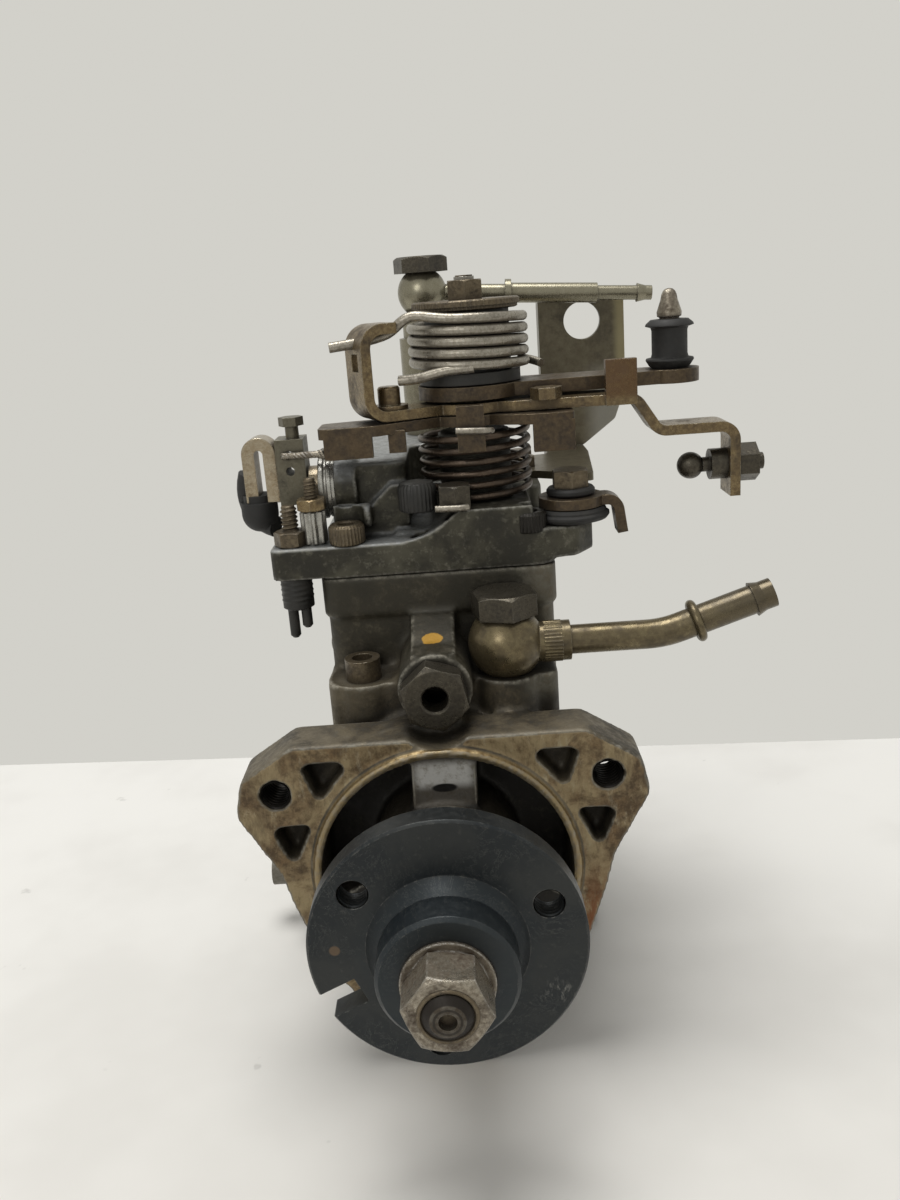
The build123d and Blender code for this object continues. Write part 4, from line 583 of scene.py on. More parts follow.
def hub_paint():
    """Drive hub: blackened steel with a blue cast, thin scratches, one tan spot and painted shade
    in its hollows.
    """
    g = Graph("hub_steel_worn")
    where = g.place(0.5)
    x, y, z = g.parts()
    large = g.noise(where, 38, 4, 0.6, 0.5)
    fine = g.noise(where, 500, 5, 0.7)
    swirl = g.noise(g.place(0.2, (1.0, 0.3, 1.0)), 95, 8, 0.75, 2.2)
    rounded, rim = g.edge(0.5)
    tone = g.mix(g.ramp(large, 0.36, 0.64), (0.034, 0.037, 0.037), (0.018, 0.022, 0.025))
    tone = g.mix(g.ramp(fine, 0.52, 0.88), tone, (0.072, 0.073, 0.068))
    blue = g.ramp(g.span(x, z), 0.026, 0.017)
    tone = g.mix(g.mul(blue, 0.4), tone, (0.024, 0.034, 0.042))
    line = g.mul(g.ramp(swirl, 0.496, 0.5), g.fall(swirl, 0.5, 0.504))
    tone = g.mix(g.mul(line, g.ramp(large, 0.46, 0.60, 0.0, 0.6)), tone, (0.22, 0.22, 0.20))
    # scuffed patch on the front face, below right
    scuff_x, scuff_z = g.sub(x, 0.0270), g.add(z, 0.0155)
    scuff = g.fall(g.span(scuff_x, scuff_z), 0.0015, 0.0060)
    strokes = g.noise(g.place(6.0, (1.0, 1.0, 0.35)), 900, 4, 0.7)
    scuff = g.mul(scuff, g.mul(g.ramp(strokes, 0.52, 0.66), g.ramp(y, -0.0355, -0.036)))
    tone = g.mix(g.mul(scuff, 0.6), tone, (0.26, 0.26, 0.24))
    rub = g.mul(g.ramp(rim, 0.05, 0.25), g.ramp(fine, 0.44, 0.6, 0.0, 0.75))
    tone = g.mix(rub, tone, (0.30, 0.30, 0.28))
    # painted shade: ambient occlusion darkens the hollows
    tone = g.mix(g.ramp(g.hollow(3), 0.3, 0.9, 0.8, 0.0), tone, (0.028, 0.022, 0.016))
    # tan spot on the front face, left of the nut
    spot_x, spot_z = g.add(x, 0.0283), g.sub(z, 0.0013)
    far = g.span(spot_x, spot_z)
    spot = g.mul(g.fall(far, 0.0011, 0.0016), g.ramp(y, -0.0355, -0.036))
    tone = g.mix(spot, tone, (0.120, 0.085, 0.055))
    g.look("Base Color", tone)
    g.look("Metallic", 0.55)
    g.look("Roughness", g.ramp(fine, 0.3, 0.7, 0.32, 0.50))
    g.look("Normal", g.bump(fine, 0.12, 0.25, rounded))
    return g.material


def shaft_paint():
    """Shaft end: dull rusty face with a turned ring, and near black in the chamfer round it."""
    g = Graph("shaft_steel_worn")
    x, _, z = g.parts()
    fine = g.noise(g.place(0.4), 700, 6, 0.7)
    rounded, rim = g.edge(0.3)
    radius = g.span(x, z)
    tone = g.mix(g.ramp(fine, 0.35, 0.65), (0.105, 0.095, 0.078), (0.055, 0.043, 0.030))
    turned = g.mul(g.ramp(radius, 0.0028, 0.0030), g.fall(radius, 0.0034, 0.0036))
    tone = g.mix(g.mul(turned, 0.8), tone, (0.020, 0.016, 0.012))
    tone = g.mix(g.ramp(radius, 0.0041, 0.0044), tone, (0.016, 0.012, 0.009))
    tone = g.mix(g.mul(g.ramp(rim, 0.05, 0.25), 0.5), tone, (0.24, 0.21, 0.16))
    g.look("Base Color", tone)
    g.look("Metallic", 0.5)
    g.look("Roughness", g.ramp(fine, 0.3, 0.7, 0.38, 0.6))
    g.look("Normal", g.bump(fine, 0.3, 0.25, rounded))
    return g.material


def lever_paint():
    """Accelerator lever: worn yellow zinc, rust brown on the upturned tab."""
    g = worn("lever_zinc_worn", (0.290, 0.225, 0.125), (0.155, 0.104, 0.054),
             (0.036, 0.026, 0.017), (0.62, 0.56, 0.42),
             0.85, (0.26, 0.54), 95, 0.48, 1100, 0.26, 0.5, 0.95, 0.85, 4, 4.7)
    x, y, z = g.parts()
    tab = g.mul(g.ramp(x, 0.0534, 0.0546), g.ramp(z, 0.1222, 0.1250))
    tab = g.mul(tab, g.fall(y, 0.0470, 0.0476))
    retint(g, g.mul(tab, 0.72), (0.120, 0.066, 0.034))
    return g.material


def inlet_paint():
    """Inlet union: olive bronze, greyer and darker towards the pipe's open end."""
    g = worn("bronze_zinc_worn", (0.215, 0.178, 0.104), (0.132, 0.103, 0.058),
             (0.046, 0.034, 0.018), (0.50, 0.46, 0.36),
             0.82, (0.28, 0.48), 60, 0.48, 1000, 0.10, 0.4, 0.75, 0.85, 4, 2.3)
    x, _, _ = g.parts()
    retint(g, g.ramp(x, 0.0700, 0.0880, 0.0, 0.62), (0.082, 0.070, 0.052))
    return g.material


def bracket_paint():
    """Cable bracket: dull zinc plate with paler, yellower bent edges and foot."""
    g = worn("bracket_zinc_worn", (0.175, 0.155, 0.105), (0.105, 0.090, 0.062),
             (0.040, 0.033, 0.022), (0.50, 0.47, 0.36),
             0.6, (0.34, 0.6), 60, 0.38, 1000, 0.18, 0.4, 0.5, 0.7, 5, 5.9)
    x, _, z = g.parts()
    retint(g, g.ramp(x, 0.0680, 0.0715, 0.0, 0.8), (0.330, 0.290, 0.165))
    foot = g.mul(g.ramp(z, 0.1290, 0.1200), g.ramp(x, 0.0560, 0.0640, 0.0, 0.75))
    retint(g, foot, (0.330, 0.325, 0.290))
    return g.material


# Plain worn metals: base, second tone, colour of grime and painted shade, and bright edge; then
# metal, roughness, patch, cover, grain, bump, edge radius, edge wear, cavity shade, reach and seed
METALS = {
    "nut_steel": ((0.40, 0.365, 0.300), (0.170, 0.140, 0.100), (0.045, 0.028, 0.015),
                  (0.76, 0.74, 0.68),
                  0.8, (0.26, 0.60), 130, 0.50, 1100, 0.40, 0.9, 1.0, 0.95, 4, 0.8),
    "screw_steel": ((0.200, 0.165, 0.110), (0.105, 0.078, 0.048), (0.030, 0.022, 0.015),
                    (0.44, 0.40, 0.32),
                    0.75, (0.34, 0.66), 160, 0.45, 1200, 0.3, 0.35, 0.85, 0.85, 3, 1.1),
    "dark_steel": ((0.100, 0.090, 0.068), (0.052, 0.044, 0.034), (0.016, 0.013, 0.010),
                   (0.34, 0.32, 0.27),
                   0.75, (0.30, 0.58), 150, 0.42, 1200, 0.25, 0.45, 0.9, 0.75, 4, 1.9),
    "light_zinc": ((0.290, 0.272, 0.208), (0.235, 0.216, 0.156), (0.100, 0.086, 0.058),
                   (0.60, 0.57, 0.48),
                   0.9, (0.28, 0.46), 60, 0.34, 1000, 0.05, 0.35, 0.4, 0.8, 4, 3.1),
    "spring_silver": ((0.40, 0.375, 0.325), (0.25, 0.225, 0.180), (0.070, 0.055, 0.038),
                      (0.62, 0.60, 0.56),
                      0.8, (0.30, 0.56), 150, 0.38, 1300, 0.3, 0.3, 0.3, 0.95, 3.0, 3.7),
    "spring_dark": ((0.110, 0.082, 0.060), (0.066, 0.047, 0.034), (0.020, 0.015, 0.011),
                    (0.30, 0.26, 0.21),
                    0.8, (0.3, 0.58), 140, 0.40, 1300, 0.2, 0.3, 0.4, 0.8, 2.5, 4.1),
    "lever_dark": ((0.120, 0.088, 0.052), (0.062, 0.043, 0.027), (0.016, 0.012, 0.009),
                   (0.42, 0.34, 0.22),
                   0.65, (0.36, 0.68), 105, 0.46, 1100, 0.3, 0.5, 0.9, 0.85, 4, 5.3),
    "clip_zinc": ((0.170, 0.158, 0.118), (0.115, 0.104, 0.074), (0.040, 0.035, 0.025),
                  (0.40, 0.38, 0.30),
                  0.65, (0.36, 0.62), 160, 0.40, 1200, 0.25, 0.3, 0.7, 0.7, 3, 6.1),
    "strip_zinc": ((0.480, 0.430, 0.330), (0.300, 0.230, 0.140), (0.080, 0.055, 0.032),
                   (0.75, 0.72, 0.62),
                   0.9, (0.22, 0.46), 120, 0.36, 1100, 0.18, 0.5, 0.95, 0.7, 4, 6.6),
    "timing_casting": ((0.200, 0.188, 0.155), (0.130, 0.118, 0.092), (0.045, 0.039, 0.029),
                       (0.38, 0.36, 0.31),
                       0.35, (0.45, 0.7), 55, 0.45, 1200, 0.35, 0.7, 0.7, 0.8, 6, 7.1),
    "head_steel": ((0.260, 0.240, 0.205), (0.180, 0.160, 0.130), (0.060, 0.050, 0.036),
                   (0.50, 0.48, 0.43),
                   0.7, (0.34, 0.62), 60, 0.40, 1100, 0.25, 0.6, 0.7, 0.8, 5, 7.7),
    "solenoid_can": ((0.300, 0.285, 0.240), (0.215, 0.200, 0.160), (0.075, 0.065, 0.046),
                     (0.55, 0.53, 0.47),
                     0.8, (0.3, 0.55), 80, 0.34, 1000, 0.18, 0.5, 0.6, 0.7, 4, 8.3),
    "ground_steel": ((0.40, 0.385, 0.35), (0.31, 0.295, 0.26), (0.10, 0.085, 0.062),
                     (0.62, 0.60, 0.56),
                     0.9, (0.22, 0.45), 70, 0.26, 1500, 0.1, 0.3, 0.4, 0.6, 3, 8.9),
    "bush_bronze": ((0.36, 0.23, 0.095), (0.27, 0.165, 0.065), (0.10, 0.062, 0.028),
                    (0.55, 0.40, 0.20),
                    0.9, (0.26, 0.48), 70, 0.26, 1200, 0.1, 0.3, 0.4, 0.6, 3, 9.4),
    "black_screw": ((0.022, 0.020, 0.017), (0.014, 0.012, 0.010), (0.008, 0.007, 0.006),
                    (0.16, 0.15, 0.125),
                    0.6, (0.4, 0.65), 160, 0.4, 1200, 0.25, 0.35, 0.7, 0.6, 3, 10.9),
    "bright_aluminium": ((0.50, 0.50, 0.47), (0.34, 0.33, 0.30), (0.10, 0.09, 0.07),
                         (0.74, 0.73, 0.70),
                         0.85, (0.26, 0.5), 120, 0.3, 1200, 0.2, 0.3, 0.6, 0.85, 2.5, 11.3),
}
paint = {name: worn(name + "_worn", *values).material for name, values in METALS.items()}
paint.update({
    "cast_aluminium": casting_paint(), "cover_casting": cover_paint(), "hub_steel": hub_paint(),
    "shaft_steel": shaft_paint(), "bronze_zinc": inlet_paint(), "lever_zinc": lever_paint(),
    "bracket_zinc": bracket_paint(),
    "black_plastic": dull("black_plastic_worn", (0.010, 0.010, 0.009), (0.032, 0.030, 0.026),
                          0.48, 9.9).material,
    "rubber": dull("rubber_worn", (0.012, 0.012, 0.012), (0.040, 0.039, 0.036),
                   0.66, 10.4).material,
})

# ---------------------------------------------------------------- every CAD node gets its paint
NODE_PAINT = {
    "cast_aluminium": "pump_housing",
    "cover_casting": "governor_cover",
    "hub_steel": "drive_hub",
    "nut_steel": "hub_nut",
    "shaft_steel": "drive_shaft",
    "bush_bronze": "shaft_bush",
    "screw_steel": "cover_screws adjusting_screws housing_screws spring_retainer lever_nut "
                   "cable_pin",
    "rubber": "shaft_seal cable_bush stop_lever_bolt fast_idle_boot",
    "dark_steel": "regulating_valve inlet_banjo_bolt return_banjo_bolt ball_stud",
    "bronze_zinc": "inlet_union",
    "light_zinc": "return_post return_union",
    "lever_dark": "shaft_lever cable_lever stop_lever",
    "lever_zinc": "accelerator_lever",
    "black_plastic": "spring_collar",
    "spring_silver": "upper_spring",
    "spring_dark": "lower_spring timing_spring",
    "strip_zinc": "fast_idle_lever",
    "clip_zinc": "cable_clamp",
    "bracket_zinc": "cable_bracket",
    "head_steel": "distributor_head head_plug delivery_valve_holders",
    "solenoid_can": "fuel_cut_solenoid",
    "timing_casting": "timing_covers",
}
slot_of = {node: slot for slot, held in NODE_PAINT.items() for node in held.split()}
for name, thing in nodes.items():
    thing.data.materials.clear()
    thing.data.materials.append(paint[slot_of.get(name, "ground_steel")])

# ---------------------------------------------------------------- castings
voxel = 0.85
housing = cast_copy("housing_casting", "pump_housing", voxel,
                    lambda p: p.y < 0.9 and math.hypot(p.x, p.z) < 39.5)
place(housing, "root", "cast_aluminium", "pump_housing")
cover = cast_copy("cover_body", "governor_cover", voxel * 0.85,
                  lambda p: abs(p.z - 77.5) < 0.6 or (p.z < 80 and p.y < 37.5),
                  webs=(((-9.5, 8.0), (45.0, 84.0), (85.5, 88.6)),
                        ((7.3, 10.9), (36.0, 37.5), (85.0, 94.2))))
place(cover, "root", "cover_casting", "governor_cover")


# ---------------------------------------------------------------- heads, nuts and threads
def piece(things, name, body, slot, *replaced):
    """Joins meshes of one material into one piece on a body."""
    made = join(name, things) if len(things) > 1 else things[0]
    made.name = name
    return place(shade_smooth(made), body, slot, *replaced)


def drive_nut():
    """Washer-faced nut on the shaft and the ring of thread inside its mouth."""
    nut = chamfered_hexagon("hub_nut_chamfered", (0, -50.0, 0), -Y, 19.0, 12.0, math.radians(-8),
                            bore=6.1, washer=11.6)
    place(nut, "drive_rotor", "nut_steel", "hub_nut")
    collar = lathe("nut_thread_ring", (0, -61.6, 0), -Y,
                   [(7.3, 0.0), (7.3, 0.55), (6.9, 0.8), (6.4, 0.7), (6.1, 0.2)])
    place(collar, "drive_rotor", "screw_steel")


def coil_points(radius, low, high, start, turns, per_turn=24):
    """Points of a coil about the lever axis, from a start angle in degrees off +X."""
    count = int(abs(turns) * per_turn)
    points = []
    for k in range(count + 1):
        share = k / count
        angle = math.radians(start + 360 * turns * share)
        points.append(Vector((LEVER_AXIS[0] + radius * math.cos(angle),
                              LEVER_AXIS[1] + radius * math.sin(angle),
                              low + (high - low) * share)))
    return points


def spring_set():
    """Wires of the two torsion springs, with their tails, hooks and feet."""
    upper = coil_points(16.8, 134.9, 148.9, -2, -4.3)
    tail = [(4.7, 46.6, 149.7), (0.6, 47.3, 150.5), (-2.6, 47.5, 149.3), (-5.6, 47.3, 146.4),
            (-9.2, 47.0, 144.9), (-17.3, 46.5, 143.7), (-23.9, 46.0, 143.2)]
    lower = coil_points(16.4, 97.0, 116.5, 250, 5.6)
    tang = [(17.0, 44.3, 134.9), (12.0, 44.6, 134.8), (7.4, 45.6, 134.4), (3.6, 45.9, 133.3),
            (-0.4, 46.4, 132.5), (-4.8, 47.3, 132.5)]
    hook = [(10.6, 38.7, 118.0), (14.0, 38.6, 117.8), (18.0, 38.7, 117.6), (20.2, 39.3, 117.4),
            (20.9, 41.0, 117.2)]
    foot = [(3.2, 33.6, 96.9), (7.0, 33.5, 96.7), (11.2, 33.6, 96.6), (12.6, 34.6, 96.6)]
    upper += [Vector(p) for p in tail]
    wires = [("upper_spring_wire", upper, 1.5, "throttle", "spring_silver", "upper_spring"),
             ("upper_spring_tang", tang, 1.5, "throttle", "spring_silver"),
             ("lower_spring_wire", lower, 1.1, "root", "spring_dark", "lower_spring"),
             ("lower_spring_hook", hook, 1.0, "throttle", "spring_silver"),
             ("lower_spring_foot", foot, 1.0, "root", "spring_silver")]
    for name, path, radius, *rest in wires:
        place(wire(name, path, radius), *rest)


def knurled_head(name, origin, radius=5.2, height=5.9, socket=2.6):
    """Cap screw head with a knurled side and a sunk hexagon socket."""
    def teeth(a, r, h):
        return 0.16 * math.cos(30 * a) if r > radius - 0.2 and 0.3 < h < height - 0.5 else 0.0

    profile = [(radius - 0.3, 0), (radius, 0.4), (radius, height - 0.8), (radius - 0.7, height),
               (socket + 0.3, height), (socket, height - 0.4), (socket, height * 0.45),
               (0.01, height * 0.35)]
    return lathe(name, origin, Z, profile, 120, teeth)


def fasteners():
    """Heads and nuts with turned corners, screws with their threads, for the plain CAD ones."""
    inlet = chamfered_hexagon("inlet_head", (21, 26, 66.5), Z, 17, 7.0, math.radians(12),
                              both=False)
    piece([inlet], "inlet_bolt_head", "root", "dark_steel", "inlet_banjo_bolt")
    back = chamfered_hexagon("return_head", (2.3, 109, 162.7), Z, 16, 5.2, math.radians(20),
                             both=False)
    piece([back], "return_bolt_head", "root", "dark_steel", "return_banjo_bolt")
    valve = chamfered_hexagon("valve_head", (0, 10, 50.5), -Y, 17, 7.0, math.radians(-18),
                              bore=3.6)
    piece([valve], "valve_hexagon", "root", "dark_steel", "regulating_valve")
    seat = (*LEVER_AXIS, NUT_SEAT)
    piece([chamfered_hexagon("stack_nut", seat, Z, 10, 5.6, bore=3.1, both=False),
           thread("stack_thread", seat, Z, 3.05, 6.9, 1.0)],
          "lever_nut_chamfered", "throttle", "screw_steel", "lever_nut")
    places = [(-23.5, 40.2), (-26.5, 115.4), (31.5, 115.4)]
    heads = [knurled_head(f"head_{k}", (*p, COVER_EDGE)) for k, p in enumerate(places)]
    for k, y in enumerate((89.0, 103.0)):
        heads.append(chamfered_hexagon(f"bracket_head_{k}", (32.0, y, BRACKET_FOOT), Z, 8, 4.0,
                                       both=False))
    piece(heads, "cover_screw_heads", "root", "screw_steel", "cover_screws")
    black = knurled_head("black_head", (30.2, 40.2, COVER_EDGE))
    piece([black], "black_cover_screw", "root", "black_screw")


def adjusters():
    """Idle stud, speed screw, spring anchor and the black cap on the cover."""
    piece([thread("stud", (*IDLE_STUD, 87.0), Z, 2.6, 12.3, 1.25),
           chamfered_hexagon("stud_nut", (*IDLE_STUD, COVER_EDGE), Z, 9, 4.5, math.radians(30)),
           thread("speed_screw", (*SPEED_SCREW, 99.5), Z, 2.1, 7.4, 1.0)],
          "adjusting_studs", "root", "screw_steel", "adjusting_screws")
    piece([chamfered_hexagon("speed_nut", (*SPEED_SCREW, 97.5), Z, 8, 3.5)], "speed_screw_nut",
          "root", "lever_zinc")
    ribs = lathe("speed_ribs", (*SPEED_SCREW, 87.4), Z,
                 [(3.1, 0), (3.5, 0.4), (3.5, 9.6), (2.9, 10.1)], 144,
                 lambda a, r, h: 0.4 * math.cos(9 * a) if r > 3.3 else 0.0)
    piece([ribs], "speed_screw_sleeve", "root", "bright_aluminium")
    anchor = chamfered_hexagon("anchor", (*SPRING_ANCHOR, COVER_STEP), Z, 9, 7.2, both=False)
    piece([anchor], "spring_anchor", "root", "dark_steel")
    cap = lathe("cap", (*BLACK_CAP, COVER_STEP), Z,
                [(5.2, 0), (5.5, 0.5), (5.5, 6.8), (4.8, 8.2), (3.2, 8.5)], 144,
                lambda a, r, h: 0.16 * math.cos(28 * a) if r > 5.4 else 0.0)
    piece([cap], "black_cap", "root", "black_plastic")
    clip = [lathe("clip_ring", (*IDLE_STUD, 68.0), Z,
                  [(3.9, 0), (4.7, 0.5), (4.7, 9.6), (4.2, 10.0)], 48),
            thread("clip_thread", (*IDLE_STUD, 78.0), -Z, 4.9, 9.0, 1.6, 0.5)]
    for low, x in ((58.6, -42.3), (61.6, -38.3)):
        clip.append(lathe(f"clip_leg_{x}", (x, IDLE_STUD[1], low), Z,
                          [(0.9, 0), (1.6, 0.8), (1.6, 10.4), (1.0, 11)], 20))
    piece(clip, "clip_under_ear", "root", "black_plastic")


def stop_pivot():
    """Brown bolt over two lipped rubber washers that carry the stop lever."""
    head = chamfered_hexagon("stop_head", (*STOP_PIVOT, 98.2), Z, 10, 5.2, both=False)
    piece([head], "stop_bolt_head", "root", "screw_steel", "stop_lever_bolt")
    low = lathe("low_washer", (*STOP_PIVOT, 88.5), Z,
                [(9.6, 0.0), (10.6, 0.3), (11.3, 1.2), (11.3, 1.9), (10.4, 2.5), (10.4, 3.0),
                 (9.8, 3.9)])
    high = lathe("high_washer", (*STOP_PIVOT, 96.0), Z,
                 [(6.8, 0.0), (7.2, 0.5), (7.2, 1.5), (6.6, 2.2)], 72)
    piece([low, high], "stop_washers", "root", "rubber")


def hole_threads(name, angles, circle, y, body, slot, *sizes):
    """Threads in holes on a circle round the shaft; sizes are radius, length, pitch, depth."""
    for angle in angles:
        a = math.radians(angle)
        hole = thread(f"{name}_{angle}", (circle * math.cos(a), y, circle * math.sin(a)), Y,
                      *sizes, 48, inside=True)
        place(hole, body, slot)


def outlets():
    """Four threaded outlets with turned hexagons and a cone seat for the injector pipes."""
    nose = [(4.6, 0.0), (5.35, 12.9), (5.0, 13.5), (3.6, 13.5), (1.2, 9.4), (1.2, 5.0), (0.2, 5.0)]
    things = []
    for x in (-OUTLET_OFFSET, OUTLET_OFFSET):
        for z in (-OUTLET_OFFSET, OUTLET_OFFSET):
            start = (x, 160.5, z)
            things += [chamfered_hexagon("outlet_hexagon", (x, 150.0, z), Y, 17, 11.0, both=False),
                       thread("outlet_thread", start, Y, 6.0, 13.0, 1.5, 0.7, 48, capped=False),
                       lathe("outlet_nose", start, Y, nose, 48)]
    piece(things, "outlet_holders", "root", "head_steel", "delivery_valve_holders")


def lever_stack():
    """Serrated retainer, bush with flared lips, rounded pin, and the post and end of a spring."""
    rim = lathe("retainer", (*LEVER_AXIS, 150.6), Z,
                [(7.0, 0.0), (14.6, 0.0), (15.2, 0.3), (15.2, 1.1), (15.9, 1.2), (15.9, 2.6),
                 (15.4, 3.0), (7.0, 3.0)], 240,
                lambda a, r, h: (0.12 * math.cos(80 * a)
                                 if 15.1 < r < 15.95 and 0.2 < h < 2.7 else 0.0))
    piece([rim], "retainer_serrated", "throttle", "screw_steel", "spring_retainer")
    bush = lathe("bush", (*CABLE_PIN, 129.4), Z,
                 [(3.1, 0.0), (5.4, 0.0), (6.2, 0.8), (7.2, 2.4), (7.0, 2.9), (5.6, 3.2),
                  (5.3, 4.2), (5.3, 11.0), (5.6, 11.9), (7.2, 12.4), (7.0, 13.0), (5.6, 14.2),
                  (3.1, 14.4)], 72)
    piece([bush], "bush_flared", "cable_arm", "rubber", "cable_bush")
    pin = lathe("pin", (*CABLE_PIN, 127.9), Z,
                [(2.0, 0.0), (4.5, 0.1), (4.5, 1.5), (2.9, 1.5), (2.9, 16.2), (3.6, 16.6),
                 (3.7, 17.8), (2.5, 21.4), (2.25, 22.8), (1.8, 23.8), (1.1, 24.4), (0.4, 24.6)],
                48)
    piece([pin], "cable_pin_turned", "cable_arm", "nut_steel", "cable_pin")
    post = lathe("post", (-8.2, 49.5, 124.4), Z,
                 [(5.4, 0), (5.4, 1.2), (3.3, 1.3), (3.3, 6.0), (2.8, 6.6)], 48)
    piece([post], "tang_post", "throttle", "lever_zinc")
    end = wire("upper_spring_end", [(31.2, 67.5, 135.3), (33.6, 66.6, 134.9), (36.2, 64.4, 134.3),
                                    (37.6, 62.2, 133.6)], 1.3)
    place(end, "throttle", "spring_silver")


def inlet_neck():
    """Knurled band and rounded bead on the inlet pipe."""
    band = lathe("band", (31.6, 26, 57.4), X,
                 [(5.4, 0.0), (5.9, 0.2), (5.9, 5.4), (5.5, 5.7), (5.5, 7.2), (5.0, 7.4)], 160,
                 lambda a, r, h: 0.14 * math.cos(34 * a) if h < 5.5 and r > 5.6 else 0.0)
    piece([band], "inlet_knurl", "root", "bronze_zinc")
    half_turn = [math.radians(15 * k - 90) for k in range(13)]
    bead = lathe("bead", (76.0, 26, 60.5), (0.9511, 0, 0.309),
                 [(4.95 + 1.35 * math.cos(a), 1.35 * math.sin(a)) for a in half_turn], 64)
    piece([bead], "inlet_bead", "root", "bronze_zinc")


def idle_side():
    """Bright ring behind the clamp, rubber boot and frayed cable stub of the fast-idle lever."""
    ring = lathe("ring", (-26.5, 55.0, 102.0), -X,
                 [(8.4, 0.0), (8.8, 0.2), (8.9, 1.0), (9.3, 1.2), (9.4, 2.2), (9.0, 2.5),
                  (9.0, 3.1), (9.7, 3.4), (9.8, 4.4), (9.4, 4.8), (6.9, 4.8), (6.7, 4.5)], 120)
    piece([ring], "idle_spring_ring", "root", "bright_aluminium")
    boot = wire("boot", [(-53.4, 56.6, 107.0), (-54.9, 57.2, 103.0), (-54.6, 57.5, 97.5),
                         (-52.6, 57.0, 93.6), (-49.6, 56.0, 91.4), (-46.6, 54.5, 90.6)], 3.3)
    piece([boot], "boot_hose", "idle_arm", "rubber")
    strands = []
    for k in range(4):
        points = []
        for step in range(25):
            share = step / 24
            a = 2 * math.pi * (k / 4 + 2.6 * share)
            spread = 0.62 + (1.1 * (share - 0.82) * 5 if share > 0.82 else 0.0)
            points.append((-41.5 + 13.0 * share, 49.4 - 0.9 * share + spread * math.cos(a),
                           112.8 + spread * math.sin(a)))
        strands.append(wire(f"strand_{k}", points, 0.5))
    piece(strands, "cable_stub", "idle_arm", "nut_steel")


drive_nut()
spring_set()
fasteners()
adjusters()
stop_pivot()
hole_threads("flange_thread", FLANGE_HOLES, FLANGE_CIRCLE, 0.5, "root", "black_screw",
             3.75, 14.6, 1.5, 0.55)
hole_threads("hub_thread", HUB_HOLES, HUB_CIRCLE, -35.8, "drive_rotor", "hub_steel",
             3.45, 6.0, 1.25, 0.5)
outlets()
lever_stack()
inlet_neck()
idle_side()


# ---------------------------------------------------------------- stage, light and camera
def floor_paint():
    """Pale paper with painted shade that darkens it towards the front, faint clouds and marks."""
    g = Graph("floor_paper")
    _, y, _ = g.parts()
    cloud = g.noise(g.place(0.0), 9, 4, 0.6)
    mark = g.noise(g.place(4.0), 60, 3, 0.7)
    # painted shade: the paper is painted darker towards the front, where the light falls off
    front_shade = g.ramp(y, 0.20, -0.42, 0.0, 1.0)
    tone = g.mix(front_shade, (0.86, 0.855, 0.825), (0.66, 0.64, 0.595))
    tone = g.mix(g.mul(g.ramp(cloud, 0.4, 0.65), 0.25), tone, (0.60, 0.585, 0.55))
    tone = g.mix(g.mul(g.ramp(mark, 0.70, 0.76), 0.35), tone, (0.38, 0.37, 0.35))
    g.look("Base Color", tone)
    g.look("Roughness", 0.55)
    return g.material


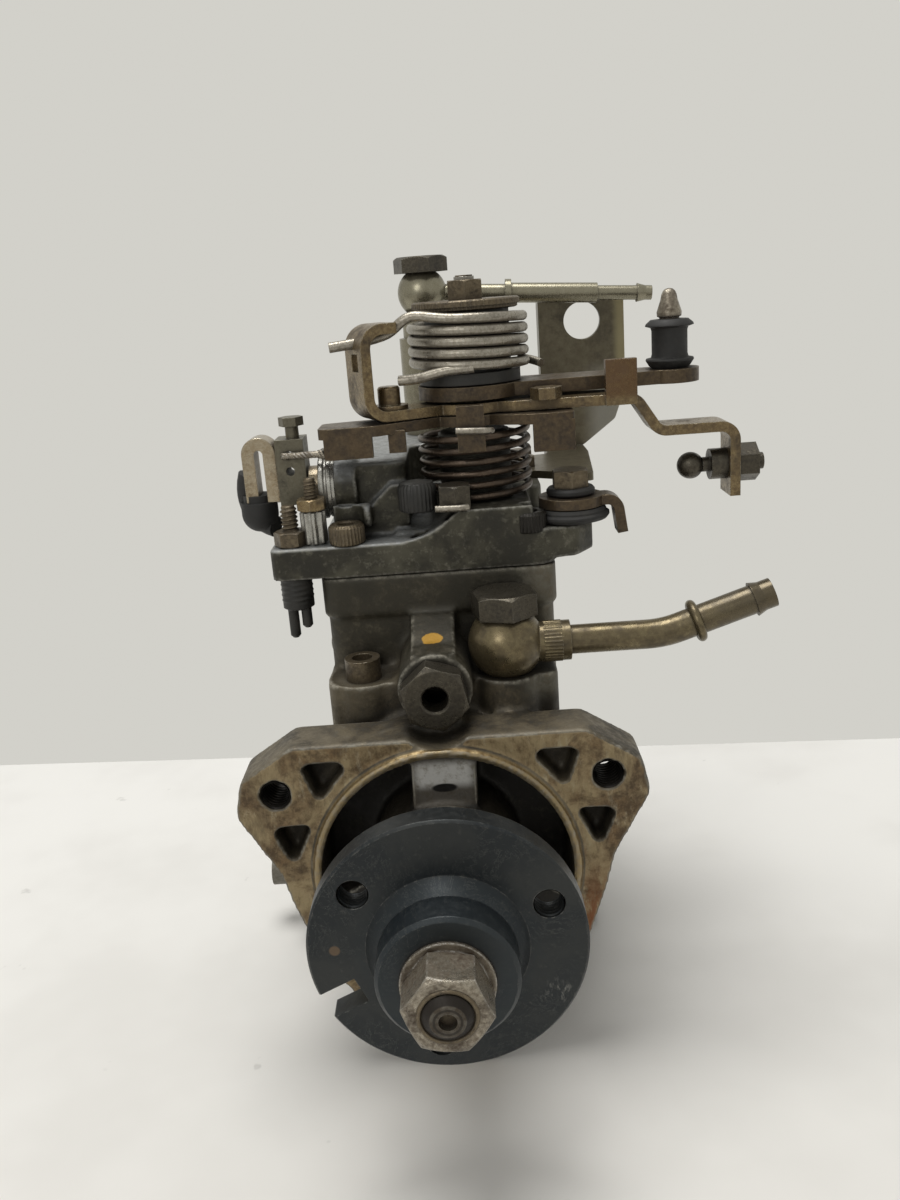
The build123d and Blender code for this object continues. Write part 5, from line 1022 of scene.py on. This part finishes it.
def studio_world():
    """Even backdrop for the camera and mirrors; for all else a light that grows upwards."""
    world = bpy.data.worlds.new("studio")
    bpy.context.scene.world = world
    world.use_nodes = True
    tree = world.node_tree
    tree.nodes.clear()
    make, link = tree.nodes.new, tree.links.new
    out = make("ShaderNodeOutputWorld")
    shown = make("ShaderNodeBackground")
    shown.inputs["Color"].default_value = (0.645, 0.635, 0.590, 1)
    shown.inputs["Strength"].default_value = 1.0
    light = make("ShaderNodeBackground")
    light.inputs["Strength"].default_value = 0.50
    sky = make("ShaderNodeTexCoord")
    split = make("ShaderNodeSeparateXYZ")
    link(sky.outputs["Generated"], split.inputs[0])
    height = make("ShaderNodeMapRange")
    height.inputs[1].default_value = -0.2
    height.inputs[2].default_value = 0.9
    link(split.outputs[2], height.inputs[0])
    shade = make("ShaderNodeMix")
    shade.data_type = "RGBA"
    shade.inputs[6].default_value = (0.34, 0.33, 0.30, 1)
    shade.inputs[7].default_value = (1.0, 0.99, 0.97, 1)
    link(height.outputs[0], shade.inputs[0])
    link(shade.outputs[2], light.inputs["Color"])
    path = make("ShaderNodeLightPath")
    seen = path.outputs["Is Camera Ray"]
    for ray in ("Is Glossy Ray", "Is Transmission Ray"):
        either = make("ShaderNodeMath")
        either.operation = "MAXIMUM"
        link(seen, either.inputs[0])
        link(path.outputs[ray], either.inputs[1])
        seen = either.outputs[0]
    both = make("ShaderNodeMixShader")
    link(seen, both.inputs[0])
    link(light.outputs[0], both.inputs[1])
    link(shown.outputs[0], both.inputs[2])
    link(both.outputs[0], out.inputs[0])


def lamp(name, where, target, size, power):
    """Warm disc light that faces its target; metres and watts."""
    data = bpy.data.lights.new(name, "AREA")
    data.shape = "DISK"
    data.size = size
    data.energy = power
    data.color = (1.0, 0.985, 0.96)
    made = new_object(name, data)
    made.location = Vector(where)
    made.rotation_mode = "QUATERNION"
    aim = Vector(target) - Vector(where)
    made.rotation_quaternion = aim.to_track_quat("-Z", "Y")


# The paper ends behind the pump in the line where the photograph's floor meets the wall
PAPER = [(-3000, -3000), (3000, -3000), (3000, -33), (-3000, 469)]
floor = add_mesh("floor_sheet", [(x, y, FLOOR_Z) for x, y in PAPER], [(0, 1, 2, 3)], smooth=False)
floor.data.materials.append(floor_paint())
studio_world()
lamp("overhead", (-0.15, 0.15, 1.5), (0, 0.05, 0.05), 0.9, 15)
lamp("front_fill", (-0.6, -1.3, 0.9), (0, 0, 0.05), 0.8, 4)

# The photograph's camera: its three axes, its place in millimetres and its focal length
RIGHT = Vector((0.997447923, -0.000688486, -0.07139445))
UP = Vector((0.06856746, 0.28799199, 0.95517492))
AHEAD = Vector((-0.0199034, 0.95763257, -0.28730422))
CAMERA_PLACE = Vector((11.63190511, -261.32763382, 157.95167325))
FOCAL_PIXELS, PHOTO_HEIGHT, SENSOR = 1047.2228, 1200, 36
camera_data = bpy.data.cameras.new("camera")
camera = new_object("camera", camera_data)
camera_data.sensor_width = SENSOR
camera_data.lens = FOCAL_PIXELS / PHOTO_HEIGHT * SENSOR
camera.rotation_mode = "QUATERNION"
camera.rotation_quaternion = Matrix((RIGHT, UP, -AHEAD)).transposed().to_quaternion()
camera.location = CAMERA_PLACE * MM
camera_data.clip_start = 0.01
camera_data.clip_end = 20
bpy.context.scene.camera = camera
bpy.context.scene.view_settings.view_transform = "Standard"
